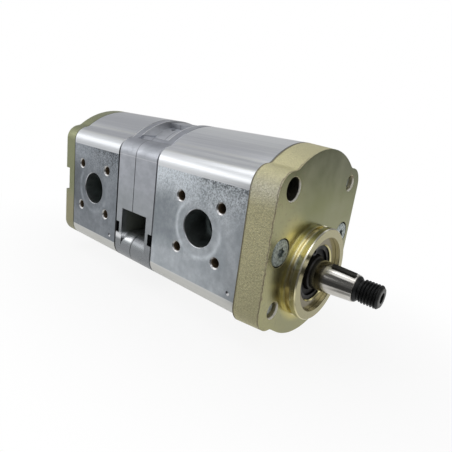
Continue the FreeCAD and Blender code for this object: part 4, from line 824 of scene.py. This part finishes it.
class ScrewSettings(bpy.types.PropertyGroup):
    star_radius: bpy.props.FloatProperty(
        name="Star radius", description="Outer radius of the star socket, in mm",
        default=2.9, min=1.0, max=6.0)
    star_depth: bpy.props.FloatProperty(
        name="Star depth", description="Depth of the star socket, in mm", default=1.3, min=0.5, max=4.0)
    hex_radius: bpy.props.FloatProperty(
        name="Hexagon radius", description="Corner radius of a hexagon socket, in mm",
        default=3.4, min=1.0, max=6.0)


class MetalSettings(bpy.types.PropertyGroup):
    cover_colour: bpy.props.FloatVectorProperty(
        name="Cover colour", description="Colour of the passivated cast sides", subtype="COLOR",
        size=3, default=(0.67, 0.63, 0.385), min=0.0, max=1.0)
    stain_colour: bpy.props.FloatVectorProperty(
        name="Stain colour", description="Colour of the stains on the machined face", subtype="COLOR",
        size=3, default=(0.36, 0.36, 0.24), min=0.0, max=1.0)
    rear_colour: bpy.props.FloatVectorProperty(
        name="Rear cover colour", description="Colour of the rear cover", subtype="COLOR",
        size=3, default=(0.265, 0.28, 0.155), min=0.0, max=1.0)


class StudioSettings(bpy.types.PropertyGroup):
    key_power: bpy.props.FloatProperty(
        name="Key light", description="Power of the overhead softbox", default=0.5, min=0.0, unit="POWER")
    strip_power: bpy.props.FloatProperty(
        name="Strip light", description="Power of the strip at the port side",
        default=0.46, min=0.0, unit="POWER")
    nose_power: bpy.props.FloatProperty(
        name="Nose light", description="Power of the softbox above the pump",
        default=0.14, min=0.0, unit="POWER")
    front_power: bpy.props.FloatProperty(
        name="Front light", description="Power of the softbox in front of the shaft",
        default=0.25, min=0.0, unit="POWER")
    lens: bpy.props.FloatProperty(
        name="Focal length", description="Focal length of the camera in mm",
        default=31.79, min=10.0, max=200.0)


SETTINGS = {
    "pump_thread": ShaftThreadSettings,
    "pump_screws": ScrewSettings,
    "pump_metals": MetalSettings,
    "pump_studio": StudioSettings,
}


# Operators

class PUMP_OT_covers(bpy.types.Operator):
    """Give the two covers their passivated cast metal"""
    bl_idname = "pump.covers"
    bl_label = "Covers"

    def execute(self, context):
        metals = context.scene.pump_metals
        paint("front_cover", front_cover_metal(tuple(metals.cover_colour), tuple(metals.stain_colour)))
        paint("rear_cover", rear_cover_metal(tuple(metals.rear_colour)))
        return {"FINISHED"}


class PUMP_OT_bodies(bpy.types.Operator):
    """Give the pump bodies and the castings between them their aluminium"""
    bl_idname = "pump.bodies"
    bl_label = "Bodies"

    def execute(self, context):
        front_joints = ((COVER_FACE, 0.65, 0.9), (BODY_END, 0.62, 0.55))
        rear_joints = ((REAR_START, 0.68, 0.95), (REAR_END, 0.35, 0.4))
        paint("front_body", body_metal("front_body_metal", PORTS[0], MARKS[0], front_joints, FRONT_FLAT))
        paint("rear_body", body_metal("rear_body_metal", PORTS[1], MARKS[1], rear_joints, REAR_FLAT))
        casting = die_cast_metal("die_cast_metal")
        paint("intermediate_front", casting)
        paint("intermediate_rear", casting)
        return {"FINISHED"}


class PUMP_OT_internals(bpy.types.Operator):
    """Give the gears, bearings, seals and small parts their materials"""
    bl_idname = "pump.internals"
    bl_label = "Internal parts"

    def execute(self, context):
        finishes = {
            "gear_steel": plain_metal("gear_metal", (0.60, 0.59, 0.58), (0.48, 0.47, 0.46), 0.20),
            "bearing_alloy": plain_metal("bearing_metal", (0.66, 0.66, 0.65), (0.54, 0.54, 0.53), 0.34),
            "bush_lining": plain_metal("bush_metal", (0.50, 0.42, 0.32), (0.38, 0.32, 0.24), 0.38),
            "coupling_steel": plain_metal("coupling_metal", (0.30, 0.295, 0.29), (0.20, 0.20, 0.20), 0.35),
            "key_steel": plain_metal("key_metal", (0.10, 0.095, 0.085), (0.05, 0.048, 0.045), 0.26, 0.8),
            "spring_steel": plain_metal("ring_metal", (0.040, 0.040, 0.042), (0.018, 0.018, 0.019), 0.30),
            "seal_rubber": seal_rubber("seal_rubber"),
        }
        for part in frame["record"]["subparts"]:
            if part["material_slot"] in finishes:
                paint(part["node"], finishes[part["material_slot"]])
        return {"FINISHED"}


def helical_thread(thread):
    """The thread as a strip that winds round the shaft, cut square at both of its ends."""
    helix = bmesh.new()
    pitch, low, high = thread.pitch, thread.root_radius, thread.crest_radius
    tooth = ((0.0, low), (0.09, low), (0.44, high), (0.56, high), (0.91, low), (1.0, low))
    turns = math.ceil((THREAD_START - THREAD_END) / pitch) + 2
    first = THREAD_START + pitch
    spots = [helix.verts.new((radius * MM, (first - share * pitch) * MM, 0)) for share, radius in tooth]
    edges = [helix.edges.new(pair) for pair in zip(spots, spots[1:])]
    bmesh.ops.spin(helix, geom=spots + edges, cent=(0, 0, 0), axis=(0, 1, 0),
                   dvec=(0, -pitch * MM / thread.steps, 0), angle=2 * math.pi * turns,
                   steps=thread.steps * turns, use_merge=False, use_duplicate=False)
    bmesh.ops.remove_doubles(helix, verts=helix.verts, dist=0.00002)
    cut_beyond(helix, THREAD_START, 1)
    cut_beyond(helix, THREAD_END, -1)
    if not helix.faces:
        raise RuntimeError("the thread came out empty")
    return helix


class PUMP_OT_shaft(bpy.types.Operator):
    """Cut the plain thread end off a copy of the drive shaft and model a real thread there"""
    bl_idname = "pump.shaft"
    bl_label = "Drive shaft"

    def execute(self, context):
        thread = context.scene.pump_thread
        bm = bmesh.new()
        bm.from_mesh(NODES["front_drive_gear"].data)
        bmesh.ops.remove_doubles(bm, verts=bm.verts, dist=WELD)
        cut_beyond(bm, THREAD_START + 0.02, -1)
        end = helical_thread(thread)
        core = thread.root_radius - 0.02
        flank = thread.crest_radius - 0.12
        turned_solid(end, [
            (THREAD_START + 0.6, 3.0), (THREAD_START + 0.6, 4.9), (THREAD_START - 0.4, core),
            (THREAD_END + 0.3, core), (THREAD_END + 0.3, flank), (THREAD_END - 0.05, flank),
            (SHAFT_END, 4.8), (SHAFT_END, CENTRE_HOLE_RADIUS),
            (SHAFT_END + CENTRE_HOLE_DEPTH, CENTRE_HOLE_RADIUS),
            (SHAFT_END + 6.0, 0.3), (SHAFT_END + 6.0, 0.0)], 64)
        copy_into(bm, end, Matrix.Identity(4))
        end.free()
        bmesh.ops.remove_doubles(bm, verts=bm.verts, dist=WELD)
        metal = shaft_metal("drive_shaft_metal", SHAFT_SHOULDER)
        piece = new_piece("drive_shaft", bm, metal, "drive_train")
        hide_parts("front_drive_gear")
        return {"FINISHED"}


class PUMP_OT_screws(bpy.types.Operator):
    """Model the star screws of the front cover and the socket screws at the back"""
    bl_idname = "pump.screws"
    bl_label = "Screws"

    def execute(self, context):
        sizes = context.scene.pump_screws
        zinc = plain_metal("zinc_metal", (0.66, 0.70, 0.68), (0.34, 0.37, 0.36), 0.38, 0.7)
        star = socket_screw(6.8, 4.6, 4.0, 24.0, (sizes.star_radius, 0.30, 6, sizes.star_depth), 0.5)
        screw_group("star_screws", "front_star_screws", star, True, zinc_metal("star_metal", 0.3), (12, 41))
        hexagon = (sizes.hex_radius, 0.134, 6, 2.6)
        for name, node, turns in (("cover_screws", "rear_cover_screws", (20, 5)),
                                  ("long_screws", "through_screws", (33, 50))):
            front, rear = ends_of(node)
            pattern = socket_screw(6.5, 5.0, 4.0, rear - front, hexagon, 0.6)
            screw_group(name, node, pattern, False, zinc, turns)
        paint("dowels", zinc)
        return {"FINISHED"}


class PUMP_OT_stage(bpy.types.Operator):
    """Make the pale floor, the soft studio lights and the camera"""
    bl_idname = "pump.stage"
    bl_label = "Studio"

    def execute(self, context):
        studio = context.scene.pump_studio
        self.floor(context)
        self.world(context)
        for name, place, target, size, setting in LAMPS:
            self.lamp(name, place, target, size, getattr(studio, setting))
        self.camera(context, studio.lens)
        return {"FINISHED"}

    @staticmethod
    def floor(context):
        """A white floor that is lit like paper close to the pump, and looks plain white to the
        camera further away. Reflections see it partly as white paper, with a dark card in front
        of the cover and a shaded patch beside the shaft."""
        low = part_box("front_cover")[0].z - FLOOR_GAP
        bm = bmesh.new()
        bmesh.ops.create_circle(bm, cap_ends=True, segments=64, radius=FLOOR_RADIUS)
        bmesh.ops.translate(bm, verts=bm.verts, vec=(0, 0, low))
        mesh = bpy.data.meshes.new("floor")
        bm.to_mesh(mesh)
        bm.free()
        floor = bpy.data.objects.new("floor", mesh)
        context.scene.collection.objects.link(floor)
        material, tree = new_material("pale_floor")
        _, x, y, _ = tree.place()
        away = apart_from(x, y * 0.55, (0.0, 41.0)).over(95.0, 50.0)
        paths = tree.node("ShaderNodeLightPath").socket.node.outputs
        seen = Signal(tree, paths["Is Camera Ray"])
        mirrored = Signal(tree, paths["Is Glossy Ray"])
        card = (y + x * CARD_SLOPE).under(-12.0, 8.0) * x.under(-52.0, 12.0) * mirrored
        shaded = y.near(-17.0, 12.0, 6.0) * x.near(-34.0, 13.0, 6.0) * mirrored
        sheet = tree.between(card.most(shaded * 0.85) * CARD_SHADE, (0.88, 0.88, 0.88), (0.0, 0.0, 0.0))
        paper = tree.node("ShaderNodeBsdfDiffuse", inputs={"Color": sheet})
        white = tree.node("ShaderNodeEmission", inputs={"Color": (1, 1, 1, 1), "Strength": 1.0})
        factor = seen * (0.88 + away * 0.12) + mirrored * FLOOR_GLOW * (1 - card) * (1 - shaded * 0.7)
        both = tree.node("ShaderNodeMixShader", inputs={0: factor, 1: paper, 2: white})
        tree.node("ShaderNodeOutputMaterial", inputs={"Surface": both})
        mesh.materials.append(material)

    @staticmethod
    def world(context):
        """A white background for the camera. What the metals mirror is a room that is bright on
        the port side, dim on the far side and in front, and dim overhead. A dark card in front
        and a post beside the pump darken its mirror images, and two bright windows in front
        light the rims of the spigot."""
        world = bpy.data.worlds.new("studio")
        world.use_nodes = True
        world.node_tree.nodes.clear()
        context.scene.world = world
        tree = Tree(world.node_tree.nodes, world.node_tree.links)
        paths = tree.node("ShaderNodeLightPath").socket.node.outputs
        seen = Signal(tree, paths["Is Camera Ray"]).most(Signal(tree, paths["Is Transmission Ray"]))
        ray = tree.node("ShaderNodeTexCoord", output="Generated")
        parts = tree.node("ShaderNodeSeparateXYZ", inputs={0: ray})
        right, back, up = (Signal(tree, socket) for socket in parts.socket.node.outputs)
        port_side = back * 0.66 - right * 0.75
        room = tree.node("ShaderNodeValToRGB", {"stops": ROOM_STOPS}, {0: port_side * 0.5 + 0.5})
        ceiling = up.over(0.66, 0.06) * CEILING_SHADE
        card = right.under(-0.35, 0.10) * (back + right * CARD_SLOPE).under(0.0, 0.05)
        card = card * up.under(0.38, 0.10) * CARD_SHADE
        post = right.under(-0.42, 0.06) * back.near(0.12, 0.20, 0.05) * up.under(0.76, 0.05) * CARD_SHADE
        window = back.near(-0.44, 0.06, 0.05) * right.near(-0.25, 0.40, 0.08) * up.over(0.42, 0.08)
        far_window = right.near(0.80, 0.12, 0.06) * back.near(-0.40, 0.08, 0.05) * up.near(0.38, 0.16, 0.08)
        strength = (1 - ceiling) * (1 - card.most(post)) + window * WINDOW_GLOW + far_window * FAR_GLOW
        colour = tree.between(seen, room * tree.vector((strength, strength, strength)), (1.0, 1.0, 1.0))
        shader = tree.node("ShaderNodeBackground", inputs={"Color": colour, "Strength": 1.0})
        tree.node("ShaderNodeOutputWorld", inputs={"Surface": shader})

    @staticmethod
    def lamp(name, place, target, size, power):
        light = bpy.data.lights.new(name, "AREA")
        light.shape = "RECTANGLE"
        light.size, light.size_y = size
        light.energy = power
        lamp = bpy.data.objects.new(name, light)
        lamp.location = place
        lamp.rotation_euler = (Vector(target) - Vector(place)).to_track_quat("-Z", "Y").to_euler()
        bpy.context.scene.collection.objects.link(lamp)

    @staticmethod
    def camera(context, lens):
        """The camera of the photograph, as it was fitted to the pump's edges."""
        turn = Matrix([Vector(axis) for axis in CAMERA_AXES]).transposed().to_4x4()
        camera = bpy.data.objects.new("camera", bpy.data.cameras.new("camera"))
        camera.matrix_world = Matrix.Translation(Vector(CAMERA_PLACE) * MM) @ turn
        camera.data.lens = lens
        camera.data.sensor_width = 36.0
        camera.data.clip_start = 0.01
        context.scene.collection.objects.link(camera)
        context.scene.camera = camera
        context.scene.view_settings.view_transform = "Standard"


OPERATORS = (PUMP_OT_covers, PUMP_OT_bodies, PUMP_OT_internals, PUMP_OT_shaft, PUMP_OT_screws, PUMP_OT_stage)


class PUMP_PT_panel(bpy.types.Panel):
    """The pump's pieces and its studio"""
    bl_idname = "PUMP_PT_panel"
    bl_label = "Gear pump"
    bl_space_type = "VIEW_3D"
    bl_region_type = "UI"
    bl_category = "Gear pump"

    def draw(self, context):
        for operator in OPERATORS:
            self.layout.operator(operator.bl_idname)
        for name in SETTINGS:
            settings = getattr(context.scene, name)
            box = self.layout.box()
            for key in settings.bl_rna.properties.keys():
                if key not in ("rna_type", "name"):
                    box.prop(settings, key)


CLASSES = (*SETTINGS.values(), *OPERATORS, PUMP_PT_panel)


def register():
    for item in CLASSES:
        bpy.utils.register_class(item)
    for name, settings in SETTINGS.items():
        setattr(bpy.types.Scene, name, bpy.props.PointerProperty(type=settings))


def unregister():
    for name in SETTINGS:
        delattr(bpy.types.Scene, name)
    for item in reversed(CLASSES):
        bpy.utils.unregister_class(item)


def main():
    register()
    for operator in OPERATORS:
        group, name = operator.bl_idname.split(".")
        getattr(getattr(bpy.ops, group), name)()
    bpy.context.view_layer.update()


if __name__ == "__main__":
    main()
